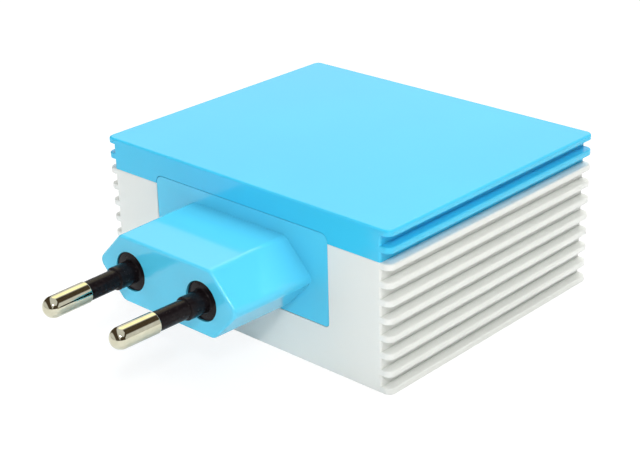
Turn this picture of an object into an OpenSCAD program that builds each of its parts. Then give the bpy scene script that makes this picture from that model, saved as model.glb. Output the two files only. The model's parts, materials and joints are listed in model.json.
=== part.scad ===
/* [Case] */
// Width of the case over its fins
case_w = 73; // [70:0.5:90]
// Depth of the case from the plug side to the socket side
case_d = 61.6; // [60:0.2:80]
// Height of the closed case
case_h = 31.6; // [30:0.2:38]
// Height of the blue top cover
cover_h = 6.35; // [5.6:0.05:7]
// Wall of both case halves
wall_t = 2; // [1.6:0.1:2.2]
// Floor of the lower case
floor_t = 2; // [1.6:0.1:2.4]
// Roof of the top cover
roof_t = 2; // [1.6:0.1:2.4]
// Corner radius of the case walls
core_corner_r = 0.5; // [0.3:0.1:1.2]

/* [Fins] */
// Thickness of one fin
fin_t = 1.2; // [1:0.05:1.4]
// Reach of the fins beyond the case walls
fin_reach = 2.1; // [1.6:0.1:2.4]
// Corner radius of a fin seen from above
fin_corner_r = 1.5; // [1:0.1:1.8]
// Rounding of the fin edges
fin_edge_r = 0.35; // [0.2:0.05:0.45]
// Number of fins on the lower case
case_fins = 8; // [6:1:9]
// Number of fins on the top cover, its roof plate included
cover_fins = 2; // [2:1:3]

/* [Cover] */
// Wall of the locating lip under the cover
lip_t = 1; // [0.8:0.1:1.2]
// Depth of the locating lip below the joint
lip_h = 2.5; // [2:0.1:3]
// Gap between the lip and the lower case
lip_gap = 0.1; // [0.05:0.05:0.15]
// Radius of the catches on the lip
catch_r = 0.4; // [0.3:0.05:0.5]
// Length of one catch
catch_l = 8; // [5:0.5:12]

/* [Plug panel] */
// Width of the blue panel to each side of the plug
panel_margin = 4.5; // [3.5:0.1:6]
// Height of the blue panel
panel_h = 18.2; // [17.4:0.1:19]
// Distance from the top of the case down to the panel
panel_drop = 4.6; // [4:0.1:5.2]
// Radius of the panel's upper corners
panel_top_r = 1.5; // [1:0.1:2]
// Radius of the panel's lower corners
panel_bottom_r = 0.8; // [0.5:0.1:1.5]
// Seam round the panel
panel_gap = 0.1; // [0.05:0.05:0.2]
// Thickness of the flange behind the case wall
flange_t = 1.2; // [1:0.1:1.5]
// Overlap of the flange beyond the panel
flange_lap = 1.5; // [1:0.1:1.8]
// Wall of the guides that hold the flange
guide_t = 1.2; // [1:0.1:1.4]

/* [Plug body] */
// Reach of the plug face beyond the case
plug_reach = 18.6; // [17:0.1:20]
// Width of the plug face across its points
plug_w = 35.4; // [35:0.1:36.4]
// Height of the plug face
plug_h = 13.3; // [13:0.1:14]
// Distance between the corner centres of the flat top
plug_flat_w = 22.4; // [21:0.1:24]
// Radius along the long edges of the plug
plug_edge_r = 1.6; // [1.2:0.1:2]
// Rounding round the plug face
plug_face_r = 0.6; // [0.4:0.1:0.8]
// Growth of the plug on every side down to the panel
plug_draft = 0.35; // [0.2:0.05:0.5]
// Side walls of the plug body
plug_wall = 1.8; // [1.5:0.1:2.2]
// Front wall of the plug body
plug_front_t = 2.5; // [2:0.1:3]

/* [Pins] */
// Distance between the pins at the plug face
pin_spacing = 18.6; // [18:0.1:19]
// Distance from the panel's upper edge down to the pins
pin_drop = 9.9; // [9.4:0.1:10.2]
// Inward lean of each pin in degrees
pin_lean = 1.3; // [0:0.1:1.6]
// Diameter of the metal pin
pin_d = 4; // [3.9:0.05:4.2]
// Length of a pin beyond the plug face
pin_len = 19.9; // [18.5:0.1:20.5]
// Length of the insulated part of a pin
sleeve_len = 10.6; // [9:0.1:11.5]
// Diameter of the insulating sleeve
sleeve_d = 3.65; // [3.5:0.05:3.8]
// Diameter of the pin inside its sleeve
shank_d = 2.8; // [2.4:0.1:3]
// Length of the thicker collar of a sleeve
boss_len = 3.9; // [3:0.1:5]
// Diameter of the collar of a sleeve
boss_d = 4.4; // [4.2:0.1:5]
// Diameter of the black disc round a pin
disc_d = 7.5; // [7:0.1:8]
// Depth of the disc below the plug face
disc_recess = 0.3; // [0.2:0.05:0.4]
// Thickness of the flange behind the plug face
bush_flange_t = 1.5; // [1:0.1:2]
// Length of the bush behind its flange
bush_tail_l = 5; // [3:0.5:6]
// Gap round the bush in the plug face
bush_gap = 0.05; // [0.05:0.01:0.1]
// Gap between the flange of the bush and the hollow of the plug
bush_room = 0.2; // [0.1:0.05:0.4]
// Width of the brass strip behind a pin
blade_w = 4; // [3:0.1:5]
// Thickness of the brass strip behind a pin
blade_t = 0.5; // [0.4:0.05:0.8]
// Drop of the brass strip below the pin
blade_drop = 3; // [2.6:0.1:3.2]

/* [Boards] */
// Thickness of both circuit boards
board_t = 1.6; // [1.2:0.1:1.8]
// Height of the posts under the main board
post_h = 2.6; // [2.2:0.1:3]
// Diameter of the posts under the main board
post_d = 5; // [4:0.1:6]
// Diameter of the pegs through the main board
peg_d = 1.8; // [1.5:0.1:2]
// Gap between the main board and the side walls
board_side_gap = 0.4; // [0.3:0.1:0.6]
// Gap between the main board and the front wall
board_front_gap = 3.2; // [3:0.1:4]
// Gap between the upright socket board and the lip of the cover
port_board_gap = 0.9; // [0.5:0.1:2]
// Length of a solder lead under the main board
lead_out = 1.2; // [0.8:0.1:1.4]
// Diameter of a round solder lead
lead_d = 0.8; // [0.6:0.05:0.9]
// Gap round leads, tabs and pegs in the boards
hole_gap = 0.1; // [0.05:0.05:0.15]

/* [Sockets] */
// Gap between the outer sockets and the side walls
socket_side_gap = 1.85; // [1.5:0.05:3]
// Depth of the socket mouths below the case
socket_recess = 0.5; // [0.3:0.1:1]
// Gap round a socket in the case window
socket_gap = 0.2; // [0.1:0.05:0.3]
// Outside width of a socket shell
shell_w = 13.1; // [13:0.1:13.6]
// Outside height of a socket shell
shell_h = 5.7; // [5.6:0.1:6.2]
// Length of a socket shell
shell_len = 14; // [13.5:0.1:14.5]
// Sheet of the socket shell
shell_t = 0.3; // [0.25:0.05:0.35]
// Outside corner radius of the socket shell
shell_r = 0.7; // [0.5:0.1:1]
// Width of the tongue in a socket
tongue_w = 11.1; // [10.8:0.1:11.4]
// Thickness of the tongue in a socket
tongue_t = 1.84; // [1.7:0.02:2]
// Length of the tongue beyond its block
tongue_len = 8.8; // [8:0.1:9]
// Space over the tongue inside the shell
tongue_top_gap = 0.72; // [0.6:0.02:0.9]
// Depth of the block that carries the tongue
tongue_block_l = 3.6; // [3:0.1:4]
// Width of a contact strip
contact_w = 1; // [0.8:0.05:1.1]
// Thickness of a contact strip
contact_t = 0.3; // [0.2:0.05:0.4]

/* [Transformer] */
// Width of the ferrite core
ferrite_w = 20; // [19:0.1:20.4]
// Length of the two core halves together
ferrite_l = 20; // [19:0.1:20.4]
// Height of the ferrite core
ferrite_h = 6.4; // [6:0.1:6.6]
// Width of the core's outer legs
ferrite_leg = 3; // [2.6:0.1:3.2]
// Width of the core's middle leg
ferrite_mid = 6.4; // [6:0.1:6.6]
// Wall of the bobbin
bobbin_t = 0.8; // [0.6:0.1:0.9]
// Height of the bobbin's pin rails
rail_h = 4.5; // [4.2:0.1:5]
// Thickness of the winding over the bobbin
winding_t = 2.4; // [2:0.1:2.5]
// Pitch of the transformer pins
trafo_pin_pitch = 3.6; // [3:0.1:4]

/* [Large parts] */
// Diameter of a bulk capacitor
bulk_d = 10; // [8:0.1:10.4]
// Height of a bulk capacitor
bulk_h = 18; // [14:0.5:20]
// Diameter of an output capacitor
output_d = 8; // [6.3:0.1:8.2]
// Height of an output capacitor
output_h = 14; // [10:0.5:18]
// Thickness of a heat sink plate
sink_t = 1.5; // [1:0.1:1.8]
// Length of a heat sink
sink_l = 19; // [16:0.5:20]
// Height of a heat sink
sink_h = 17; // [15.5:0.5:19]
// Width of the folded top of a heat sink
sink_fold = 6; // [4:0.1:6.4]
// Width of a power device
device_w = 10; // [9.6:0.1:10.4]
// Thickness of a power device
device_t = 4.4; // [4:0.1:4.6]
// Height of the moulded body of a power device
device_h = 9; // [8:0.1:9.2]
// Thickness of the metal tab of a power device
tab_t = 1.3; // [1:0.1:1.4]
// Height of the metal tab above the body
tab_h = 4.4; // [4.4:0.1:5]
// Distance from the board to a power device
device_lift = 2.2; // [2:0.1:2.6]
// Diameter of the heat sink screws
screw_d = 3; // [2.5:0.1:3]
// Head diameter of the heat sink screws
screw_head_d = 4.2; // [4:0.1:4.4]
// Head height of the heat sink screws
screw_head_h = 1.6; // [1.2:0.1:2]
// Gap between neighbouring parts on the board
part_gap = 0.8; // [0.6:0.1:0.9]

/* [Small parts] */
// Width over the legs of the choke core
choke_w = 12.8; // [12.6:0.1:13.4]
// Height of the choke core
choke_h = 13; // [12:0.1:15]
// Thickness of the choke core
choke_leg = 4; // [3.6:0.1:4.1]
// Height of the yokes of the choke core
choke_yoke = 3; // [2.5:0.1:3.5]
// Diameter of a choke winding
choke_coil_d = 8.4; // [8:0.1:8.6]
// Width of the box capacitor
box_w = 6; // [5:0.1:6.4]
// Length of the box capacitor
box_l = 12.6; // [12:0.1:13]
// Height of the box capacitor
box_h = 11; // [9:0.1:12]
// Length of the bridge rectifier
bridge_l = 6.4; // [6:0.1:6.6]
// Width of the bridge rectifier
bridge_w = 8.4; // [8:0.1:8.6]
// Height of the bridge rectifier
bridge_h = 3.2; // [2.6:0.1:3.6]
// Length of the optocoupler
opto_l = 6.2; // [6:0.1:6.4]
// Width of the optocoupler
opto_w = 4.6; // [4.4:0.1:4.8]
// Height of the optocoupler
opto_h = 3.5; // [3:0.1:3.8]
// Diameter of the disc capacitor
disc_cap_d = 7; // [6:0.1:8]
// Thickness of the disc capacitor
disc_cap_t = 3.6; // [3:0.1:3.8]
// Diameter of the varistor
varistor_d = 8; // [7:0.1:8.6]
// Thickness of the varistor
varistor_t = 3.6; // [3:0.1:3.8]
// Diameter of the fuse caps
fuse_d = 4; // [3.6:0.1:4.4]
// Length of the fuse
fuse_l = 9; // [8:0.1:9.4]
// Length of a flat chip
chip_l = 5; // [4.6:0.1:5.2]
// Width of a flat chip
chip_w = 4; // [3.8:0.1:4.2]
// Height of a flat chip
chip_h = 1.5; // [1.2:0.1:1.7]

/* [Hidden] */

// Smoothness of round shapes, and of the rounded shapes that are hulled
$fn = 48;
hull_fn = 32;
// How far a cut runs past the surface it opens
overrun = 0.5;

// Steps of the rounding at the plug face, in degrees
face_steps = [0, 30, 60, 90];
// Sides of the plug: left is minus one, right is plus one
sides = [-1, 1];
socket_count = 4;
socket_numbers = [1 : socket_count];

front_y = -case_d / 2;
back_y = case_d / 2;
core_w = case_w - 2 * fin_reach;
inner_w = core_w - 2 * wall_t;
inner_front = front_y + wall_t;
inner_back = back_y - wall_t;
inner_corner_r = core_corner_r / 2;
lower_h = case_h - cover_h;
cover_fin_pitch = cover_h / cover_fins;
case_fin_pitch = (lower_h - fin_t) / (case_fins - 1);

// Locating lip and its catches
lip_w = inner_w - 2 * lip_gap;
lip_front = inner_front + lip_gap;
lip_back = inner_back - lip_gap;
catch_z = lower_h - lip_h / 2;
catch_y_share = 0.24;
lip_notch_gap = 0.4;

// Plug panel and its guides
panel_w = plug_w + 2 * panel_margin;
panel_top_z = case_h - panel_drop;
panel_bottom_z = panel_top_z - panel_h;
pin_z = panel_top_z - pin_drop;
flange_w = panel_w + 2 * flange_lap;
flange_top = panel_top_z + flange_lap / 2;
flange_bottom = panel_bottom_z - 2 * flange_lap / 3;
guide_gap = 0.1;
guide_lap = 1;
guide_h = lower_h - lip_h - flange_bottom;

// Plug face and the bush of each pin, measured back from the plug face
face_y = front_y - plug_reach;
plug_slant = atan2(plug_h / 2 - plug_edge_r, plug_w / 2 - plug_edge_r - plug_flat_w / 2);
cavity_draft = plug_draft * plug_front_t / plug_reach;
cavity_r = plug_edge_r / 2;
bush_side_room = (plug_w / 2 - plug_edge_r - pin_spacing / 2) * sin(plug_slant) + plug_edge_r - plug_wall;
bush_flange_d = 2 * (min(bush_side_room, plug_h / 2 - plug_wall) - bush_room);
bush_seat = plug_front_t + bush_flange_d / 2 * sin(pin_lean) + bush_gap / 2;
bush_end = plug_front_t + bush_flange_t + bush_tail_l;
bush_tail_d = shank_d + (bush_flange_d - shank_d) / 2;
rivet_d = shank_d * 0.7;
rivet_l = 2 * blade_t;

// Main board
board_z = floor_t + post_h;
board_top = board_z + board_t;
board_w = inner_w - 2 * board_side_gap;
board_front = inner_front + board_front_gap;
board_back = inner_back - board_side_gap;
post_inset = post_d / 2 + board_side_gap;
peg_out = 0.8;
lead_bottom = board_z - lead_out;

// Sockets and the upright board behind them
socket_pitch = (inner_w - 2 * socket_side_gap - shell_w) / (socket_count - 1);
socket_z = case_h / 2;
mouth_y = back_y - socket_recess;
port_back = mouth_y - shell_len;
port_front = port_back - board_t;
port_board_w = inner_w - 2 * board_side_gap;
port_board_h = lower_h - lip_h - port_board_gap - board_top;
port_tab_w = 6;
port_tab_x_share = 0.62;
rail_t = 1;
rail_reach = 1.6;
rail_gap = 0.1;
shell_foot_w = 1.6;
shell_foot_out = 0.8;
foot_z_share = 0.25;
window_r = shell_r + socket_gap;
tongue_z = socket_z + shell_h / 2 - shell_t - tongue_top_gap - tongue_t / 2;
contact_z = tongue_z - tongue_t / 2 - contact_t / 2;
contact_tip_gap = 1;
contact_out = 0.8;
contact_gap = 0.05;
contact_spot_shares = [-3.5, -1, 1, 3.5];
contact_step = contact_w;
contact_hole_d = sqrt(contact_w * contact_w + contact_t * contact_t) + 2 * contact_gap;

// Transformer, between the output capacitors and the plug
output_y = port_front - contact_out - part_gap / 2 - output_d / 2;
ferrite_y = output_y - output_d / 2 - part_gap - ferrite_l / 2;
bobbin_gap = hole_gap;
ferrite_z = board_top + rail_h + bobbin_gap + ferrite_h / 2;
window_l = ferrite_l - 2 * ferrite_leg;
tube_w = ferrite_mid + 2 * bobbin_gap + 2 * bobbin_t;
tube_h = ferrite_h + 2 * bobbin_gap + 2 * bobbin_t;
bobbin_l = window_l - 2 * bobbin_gap;
coil_l = bobbin_l - 2 * bobbin_t;
rail_w = 4 * trafo_pin_pitch;
rail_d = ferrite_leg;
trafo_pin_in = 2;
trafo_pin_y = ferrite_l / 2 - rail_d / 2;

// Columns of parts to the left and right of the transformer
column_x = inner_w / 2 - lip_gap - lip_t - part_gap - bulk_d / 2;
device_x = column_x - bulk_d / 2 - part_gap - device_t;
sink_x = device_x - sink_t;
bulk_y = [ferrite_y - bulk_d / 2 - part_gap / 2, ferrite_y + bulk_d / 2 + part_gap / 2];
screw_z = board_top + device_lift + device_h + tab_h / 2;
screw_l = tab_t + sink_t;
sink_tab_w = 2;
sink_tab_y = sink_l / 2 - 2 * sink_tab_w;
device_lead_w = 0.8;
device_lead_t = 0.5;
device_lead_pitch = 2.54;
output_x = [-output_d - part_gap, 0, output_d + part_gap];

// Parts in the front corners
choke_y = board_front + choke_coil_d / 2;
choke_x = part_gap + choke_w / 2 + choke_coil_d / 2 - inner_w / 2;
coil_h = choke_h - 2 * choke_yoke;
coil_x = (choke_w - choke_leg) / 2;
coil_lead_y = choke_coil_d / 2 - lead_d;
fuse_x = column_x - box_w / 2 - part_gap - fuse_l / 2 - 2 * lead_d;
varistor_x = fuse_x + part_gap;
varistor_y = board_front + varistor_t / 2;
fuse_y = varistor_y + varistor_t / 2 + part_gap + fuse_d / 2;
box_y = board_front + 2 * part_gap + post_d + box_l / 2;
bridge_y = box_y + box_l / 2 + part_gap + bridge_l / 2;
opto_y = bridge_y + bridge_l / 2 + part_gap + opto_l / 2;
disc_cap_y = opto_y + opto_l / 2 + part_gap + disc_cap_t / 2;
chip_y = bulk_y[1] + bulk_d / 2 + 2 * part_gap + chip_w / 2;
large_legs = 2;
chip_legs = 4;
can_lead_share = 0.25;
disc_lead_share = 0.3;
box_lead_share = 0.38;
blade_land_y = board_front + 2 * blade_t + varistor_t / 2;

function socket_x(n) = (n - (socket_count + 1) / 2) * socket_pitch;
function case_fin_z(n) = n * case_fin_pitch;
function cover_fin_z(n) = lower_h + (n + 1) * cover_fin_pitch - fin_t;

// Flat shapes that round parts and walls are made from

module rounded_square(w, h, r) {
    square([w - 2 * r, h], center = true);
    square([w, h - 2 * r], center = true);
    for (x = sides, y = sides)
        translate([x * (w / 2 - r), y * (h / 2 - r)]) circle(r);
}

module case_outline(w, r) {
    rounded_square(w, case_d, r);
}

// A flat shape in the X and Z directions, as a slab that starts at y and is t thick
module upright(y, t) {
    translate([0, y + t, 0]) rotate([90, 0, 0]) linear_extrude(t) children();
}

// A flat shape in the Y and Z directions, as a slab centred on x and w wide
module sideways(x, w) {
    translate([x - w / 2, 0, 0]) rotate([90, 0, 90]) linear_extrude(w) children();
}

module box_at(x, y, z, w, d, h) {
    translate([x - w / 2, y - d / 2, z]) cube([w, d, h]);
}

// Case halves

module fin(z) {
    translate([0, 0, z])
        intersection() {
            linear_extrude(fin_t) case_outline(case_w, fin_corner_r);
            upright(front_y, case_d)
                translate([0, fin_t / 2]) rounded_square(case_w, fin_t, fin_edge_r);
            sideways(0, case_w)
                translate([0, fin_t / 2]) rounded_square(case_d, fin_t, fin_edge_r);
        }
}

module panel_face(grow) {
    w = panel_w + 2 * grow;
    low = panel_bottom_z - grow;
    high = panel_top_z + grow;
    top_r = panel_top_r + grow;
    bottom_r = panel_bottom_r + grow;
    translate([-w / 2, low + bottom_r]) square([w, high - low - bottom_r - top_r]);
    translate([-w / 2 + bottom_r, low]) square([w - 2 * bottom_r, high - low - top_r]);
    translate([-w / 2 + top_r, low + bottom_r]) square([w - 2 * top_r, high - low - bottom_r]);
    for (x = sides) {
        translate([x * (w / 2 - bottom_r), low + bottom_r]) circle(bottom_r);
        translate([x * (w / 2 - top_r), high - top_r]) circle(top_r);
    }
}

module post_places() {
    for (x = sides, y = [board_front + post_inset, board_back - post_inset])
        translate([x * (board_w / 2 - post_inset), y, 0]) children();
}

module board_posts() {
    post_places() {
        cylinder(d = post_d, h = board_z);
        cylinder(d = peg_d, h = board_top + peg_out);
    }
}

// Two hooked guides that the flange of the plug panel slides into
module panel_guides() {
    root = wall_t / 2;
    depth = flange_t + 2 * guide_gap + guide_t;
    outer = flange_w / 2 + guide_gap + guide_t;
    for (x = sides) {
        box_at(x * (outer - guide_t / 2), inner_front + (depth - root) / 2, flange_bottom,
            guide_t, depth + root, guide_h);
        box_at(x * (outer - (guide_t + guide_lap) / 2), inner_front + depth - guide_t / 2, flange_bottom,
            guide_t + guide_lap, guide_t, guide_h);
    }
}

// Rails on the side walls that hold the ends of the upright board
module board_rails() {
    for (x = sides, y = [port_front - rail_gap - rail_t / 2, port_back + rail_gap + rail_t / 2])
        box_at(x * (inner_w / 2 + (wall_t / 2 - rail_reach) / 2), y, board_top + rail_gap,
            rail_reach + wall_t / 2, rail_t, port_board_h);
}

module socket_windows() {
    for (n = socket_numbers)
        translate([socket_x(n), 0, socket_z])
            upright(inner_back - overrun, wall_t + 2 * overrun)
                rounded_square(shell_w + 2 * socket_gap, shell_h + 2 * socket_gap, window_r);
}

module catches(r) {
    for (x = sides, y = sides)
        translate([x * lip_w / 2, y * case_d * catch_y_share, catch_z])
            rotate([90, 0, 0]) cylinder(r = r, h = catch_l + 2 * (r - catch_r), center = true);
}

module lower_case() {
    color("gainsboro") {
        difference() {
            union() {
                translate([0, 0, fin_edge_r])
                    linear_extrude(lower_h - fin_edge_r) case_outline(core_w, core_corner_r);
                for (n = [0 : case_fins - 1]) fin(case_fin_z(n));
            }
            translate([0, 0, floor_t])
                linear_extrude(lower_h) rounded_square(inner_w, inner_back - inner_front, inner_corner_r);
            upright(front_y - overrun, wall_t + 2 * overrun) {
                panel_face(panel_gap);
                translate([-panel_w / 2 - panel_gap, panel_bottom_z + panel_bottom_r])
                    square([panel_w + 2 * panel_gap, lower_h]);
            }
            socket_windows();
            catches(catch_r + lip_gap);
        }
        board_posts();
        panel_guides();
        board_rails();
    }
}

module cover_lip() {
    notch_w = flange_w + 2 * lip_notch_gap + 2 * guide_t;
    difference() {
        union() {
            translate([0, 0, lower_h - lip_h])
                linear_extrude(lip_h + lip_t) rounded_square(lip_w, lip_back - lip_front, inner_corner_r);
            translate([0, 0, lower_h])
                linear_extrude(lip_t)
                    rounded_square(inner_w + wall_t, inner_back - inner_front + wall_t, inner_corner_r);
            catches(catch_r);
        }
        translate([0, 0, lower_h - lip_h - overrun])
            linear_extrude(lip_h + lip_t + 2 * overrun)
                rounded_square(lip_w - 2 * lip_t, lip_back - lip_front - 2 * lip_t, inner_corner_r);
        box_at(0, lip_front, lower_h - lip_h - overrun, notch_w, 2 * (guide_t + flange_t + lip_t), case_h);
    }
}

module top_cover() {
    color("deepskyblue") {
        difference() {
            union() {
                translate([0, 0, lower_h])
                    linear_extrude(case_h - lower_h - fin_edge_r) case_outline(core_w, core_corner_r);
                for (n = [0 : cover_fins - 1]) fin(cover_fin_z(n));
            }
            translate([0, 0, lower_h - overrun])
                linear_extrude(case_h - lower_h - roof_t + overrun)
                    rounded_square(inner_w, inner_back - inner_front, inner_corner_r);
            upright(front_y - overrun, wall_t + 2 * overrun) panel_face(panel_gap);
        }
        cover_lip();
    }
}

// Plug body

// The six corners of the plug's section at y, moved out by grow, with corner radius r
module plug_ring(grow, y, r) {
    move = plug_edge_r + grow - r;
    top_z = plug_h / 2 - plug_edge_r + move;
    point_x = plug_w / 2 - plug_edge_r;
    top_x = point_x + (move - top_z * cos(plug_slant)) / sin(plug_slant);
    for (x = sides, z = sides)
        translate([x * top_x, y, z * top_z]) plug_rod(r);
    for (x = sides)
        translate([x * (point_x + move / sin(plug_slant)), y, 0]) plug_rod(r);
}

// A short rod along Y, one corner of the plug's section
module plug_rod(r) {
    rotate([-90, 0, 0]) cylinder(r = r, h = hole_gap, $fn = hull_fn);
}

module plug_body() {
    translate([0, 0, pin_z])
        hull() {
            for (a = face_steps)
                plug_ring(plug_face_r * (sin(a) - 1), face_y + plug_face_r * (1 - cos(a)),
                    plug_edge_r + plug_face_r * (sin(a) - 1));
            plug_ring(plug_draft, front_y, plug_edge_r + plug_draft);
        }
}

module plug_cavity() {
    translate([0, 0, pin_z])
        hull() {
            plug_ring(cavity_draft - plug_wall, face_y + plug_front_t, cavity_r);
            plug_ring(plug_draft - plug_wall, inner_front + flange_t + guide_gap, cavity_r);
        }
}

// Places its children at a pin: Z runs back along the leaning pin, zero at the plug face
module at_pin(side) {
    translate([side * pin_spacing / 2, face_y, pin_z])
        rotate([-90, 0, side * -pin_lean]) children();
}

module plug_panel() {
    color("deepskyblue")
        difference() {
            union() {
                upright(front_y, wall_t + guide_gap) panel_face(0);
                upright(inner_front + guide_gap, flange_t)
                    translate([-flange_w / 2, flange_bottom])
                        square([flange_w, flange_top - flange_bottom]);
                plug_body();
            }
            plug_cavity();
            for (side = sides)
                at_pin(side) translate([0, 0, -plug_front_t])
                    cylinder(d = disc_d + 2 * bush_gap, h = 3 * plug_front_t);
        }
}

// Pins

module pin_holder(side) {
    color("black")
        at_pin(side)
            difference() {
                union() {
                    translate([0, 0, -sleeve_len]) cylinder(d = sleeve_d, h = sleeve_len + plug_front_t);
                    translate([0, 0, -boss_len]) cylinder(d = boss_d, h = boss_len + plug_front_t);
                    translate([0, 0, disc_recess]) cylinder(d = disc_d, h = bush_seat - disc_recess + bush_gap);
                    translate([0, 0, bush_seat])
                        cylinder(d = bush_flange_d, h = bush_flange_t);
                    cylinder(d = bush_tail_d, h = bush_end);
                }
                translate([0, 0, -sleeve_len - overrun])
                    cylinder(d = shank_d + 2 * bush_gap, h = sleeve_len + bush_end + 2 * overrun);
            }
}

module plug_pin(side) {
    tip_r = pin_d / 2;
    color("silver")
        at_pin(side) {
            translate([0, 0, -pin_len + tip_r]) sphere(tip_r);
            translate([0, 0, -pin_len + tip_r]) cylinder(r = tip_r, h = pin_len - tip_r - sleeve_len);
            translate([0, 0, -sleeve_len - tip_r / 2]) cylinder(d = shank_d, h = sleeve_len + tip_r / 2 + bush_end);
            translate([0, 0, bush_end - overrun]) cylinder(d = rivet_d, h = rivet_l + overrun);
        }
}

// Brass strip: from the rivet behind a pin, back through the plug and down to the main board
module contact_blade(side) {
    tab_y = face_y + bush_end;
    run_z = pin_z - blade_drop;
    x = side * (pin_spacing / 2 + bush_end * tan(pin_lean));
    color("goldenrod")
        difference() {
            sideways(x, blade_w) {
                translate([tab_y + blade_t / 2, run_z]) square([blade_t, blade_drop + shank_d]);
                translate([tab_y + blade_t / 2, run_z]) square([blade_land_y - tab_y, blade_t]);
                translate([blade_land_y, lead_bottom]) square([blade_t, run_z + blade_t - lead_bottom]);
            }
            at_pin(side) translate([0, 0, bush_end - overrun])
                cylinder(d = rivet_d + 2 * hole_gap, h = rivet_l + 2 * overrun);
        }
}

// Boards

module lead_hole(x, y) {
    translate([x, y, board_z - overrun]) cylinder(d = lead_d + 2 * hole_gap, h = board_t + 2 * overrun);
}

module slot_hole(x, y, w, d) {
    box_at(x, y, board_z - overrun, w + 2 * hole_gap, d + 2 * hole_gap, board_t + 2 * overrun);
}

// Solder leads of the parts that stand in round holes, at both sides of a place
module lead_pair(x, y, dx, dy, top) {
    for (s = sides)
        translate([x + s * dx, y + s * dy, lead_bottom]) cylinder(d = lead_d, h = top - lead_bottom);
}

module hole_pair(x, y, dx, dy) {
    for (s = sides) lead_hole(x + s * dx, y + s * dy);
}

module main_board() {
    color("darkgreen")
        difference() {
            box_at(0, (board_front + board_back) / 2, board_z, board_w, board_back - board_front, board_t);
            post_places() translate([0, 0, board_z - overrun])
                cylinder(d = peg_d + 2 * hole_gap, h = board_t + 2 * overrun);
            for (y = bulk_y) hole_pair(-column_x, y, 0, bulk_d * can_lead_share);
            for (x = output_x) hole_pair(x, output_y, output_d * can_lead_share, 0);
            hole_pair(column_x, box_y, 0, box_l * box_lead_share);
            hole_pair(column_x, disc_cap_y, disc_cap_d * disc_lead_share, 0);
            hole_pair(varistor_x, varistor_y, varistor_d * disc_lead_share, 0);
            hole_pair(fuse_x, fuse_y, fuse_l / 2 + lead_d, 0);
            for (side = sides) hole_pair(choke_x + side * coil_x, choke_y, 0, coil_lead_y);
            trafo_pin_places() translate([0, 0, board_z - overrun])
                cylinder(d = lead_d + 2 * hole_gap, h = board_t + 2 * overrun);
            for (side = sides) {
                blade_x = side * (pin_spacing / 2 + bush_end * tan(pin_lean));
                slot_hole(blade_x, blade_land_y + blade_t / 2, blade_w, blade_t);
                slot_hole(side * port_board_w / 2 * port_tab_x_share, (port_front + port_back) / 2,
                    port_tab_w, board_t);
                for (s = sides)
                    slot_hole(side * (sink_x + sink_t / 2), ferrite_y + s * sink_tab_y, sink_t, sink_tab_w);
                for (n = [-1 : 1])
                    slot_hole(side * (device_x + device_t / 2), ferrite_y + n * device_lead_pitch,
                        device_lead_t, device_lead_w);
            }
        }
}

module port_board() {
    color("darkgreen")
        difference() {
            union() {
                box_at(0, (port_front + port_back) / 2, board_top, port_board_w, board_t, port_board_h);
                for (side = sides)
                    box_at(side * port_board_w / 2 * port_tab_x_share, (port_front + port_back) / 2,
                        lead_bottom, port_tab_w, board_t, board_top - lead_bottom + overrun);
            }
            for (n = socket_numbers) {
                for (x = contact_spot_shares)
                    translate([socket_x(n) + x * contact_step, port_back + overrun, contact_z])
                        rotate([90, 0, 0]) cylinder(d = contact_hole_d, h = board_t + 2 * overrun);
                for (s = sides)
                    box_at(socket_x(n) + s * (shell_w / 2 - shell_t / 2), (port_front + port_back) / 2,
                        socket_z - shell_foot_w / 2 - hole_gap,
                        shell_t + 2 * hole_gap, board_t + 2 * overrun, shell_foot_w + 2 * hole_gap);
            }
        }
}

// Sockets

module usb_shell(n) {
    color("silver")
        translate([socket_x(n), 0, 0]) {
            translate([0, 0, socket_z])
                difference() {
                    upright(port_back, shell_len) rounded_square(shell_w, shell_h, shell_r);
                    upright(port_back - overrun, shell_len + 2 * overrun)
                        rounded_square(shell_w - 2 * shell_t, shell_h - 2 * shell_t, shell_r - shell_t);
                }
            for (s = sides)
                box_at(s * (shell_w / 2 - shell_t / 2), port_back + (shell_foot_w - board_t - shell_foot_out) / 2,
                    socket_z - shell_foot_w / 2,
                    shell_t, board_t + shell_foot_out + shell_foot_w, shell_foot_w);
        }
}

module usb_tongue(n) {
    block_w = shell_w - 2 * shell_t - 2 * contact_gap;
    block_h = shell_h - 2 * shell_t - 2 * contact_gap;
    color("white")
        translate([socket_x(n), 0, 0])
            difference() {
                union() {
                    translate([0, 0, socket_z])
                        upright(port_back, tongue_block_l) rounded_square(block_w, block_h, shell_r - shell_t);
                    box_at(0, port_back + (tongue_block_l + tongue_len) / 2, tongue_z - tongue_t / 2,
                        tongue_w, tongue_block_l + tongue_len, tongue_t);
                }
                for (x = contact_spot_shares)
                    box_at(x * contact_step, port_back + tongue_block_l / 2,
                        contact_z - contact_t / 2 - contact_gap,
                        contact_w + 2 * contact_gap, tongue_block_l + 2 * overrun, contact_t + contact_gap);
            }
}

module usb_contacts(n) {
    start = port_front - contact_out;
    end = port_back + tongue_block_l + tongue_len - contact_tip_gap;
    color("goldenrod")
        translate([socket_x(n), 0, 0])
            for (x = contact_spot_shares)
                box_at(x * contact_step, (start + end) / 2, contact_z - contact_t / 2,
                    contact_w, end - start, contact_t);
}

// Transformer

module at_transformer() {
    translate([0, ferrite_y, ferrite_z]) children();
}

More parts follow.
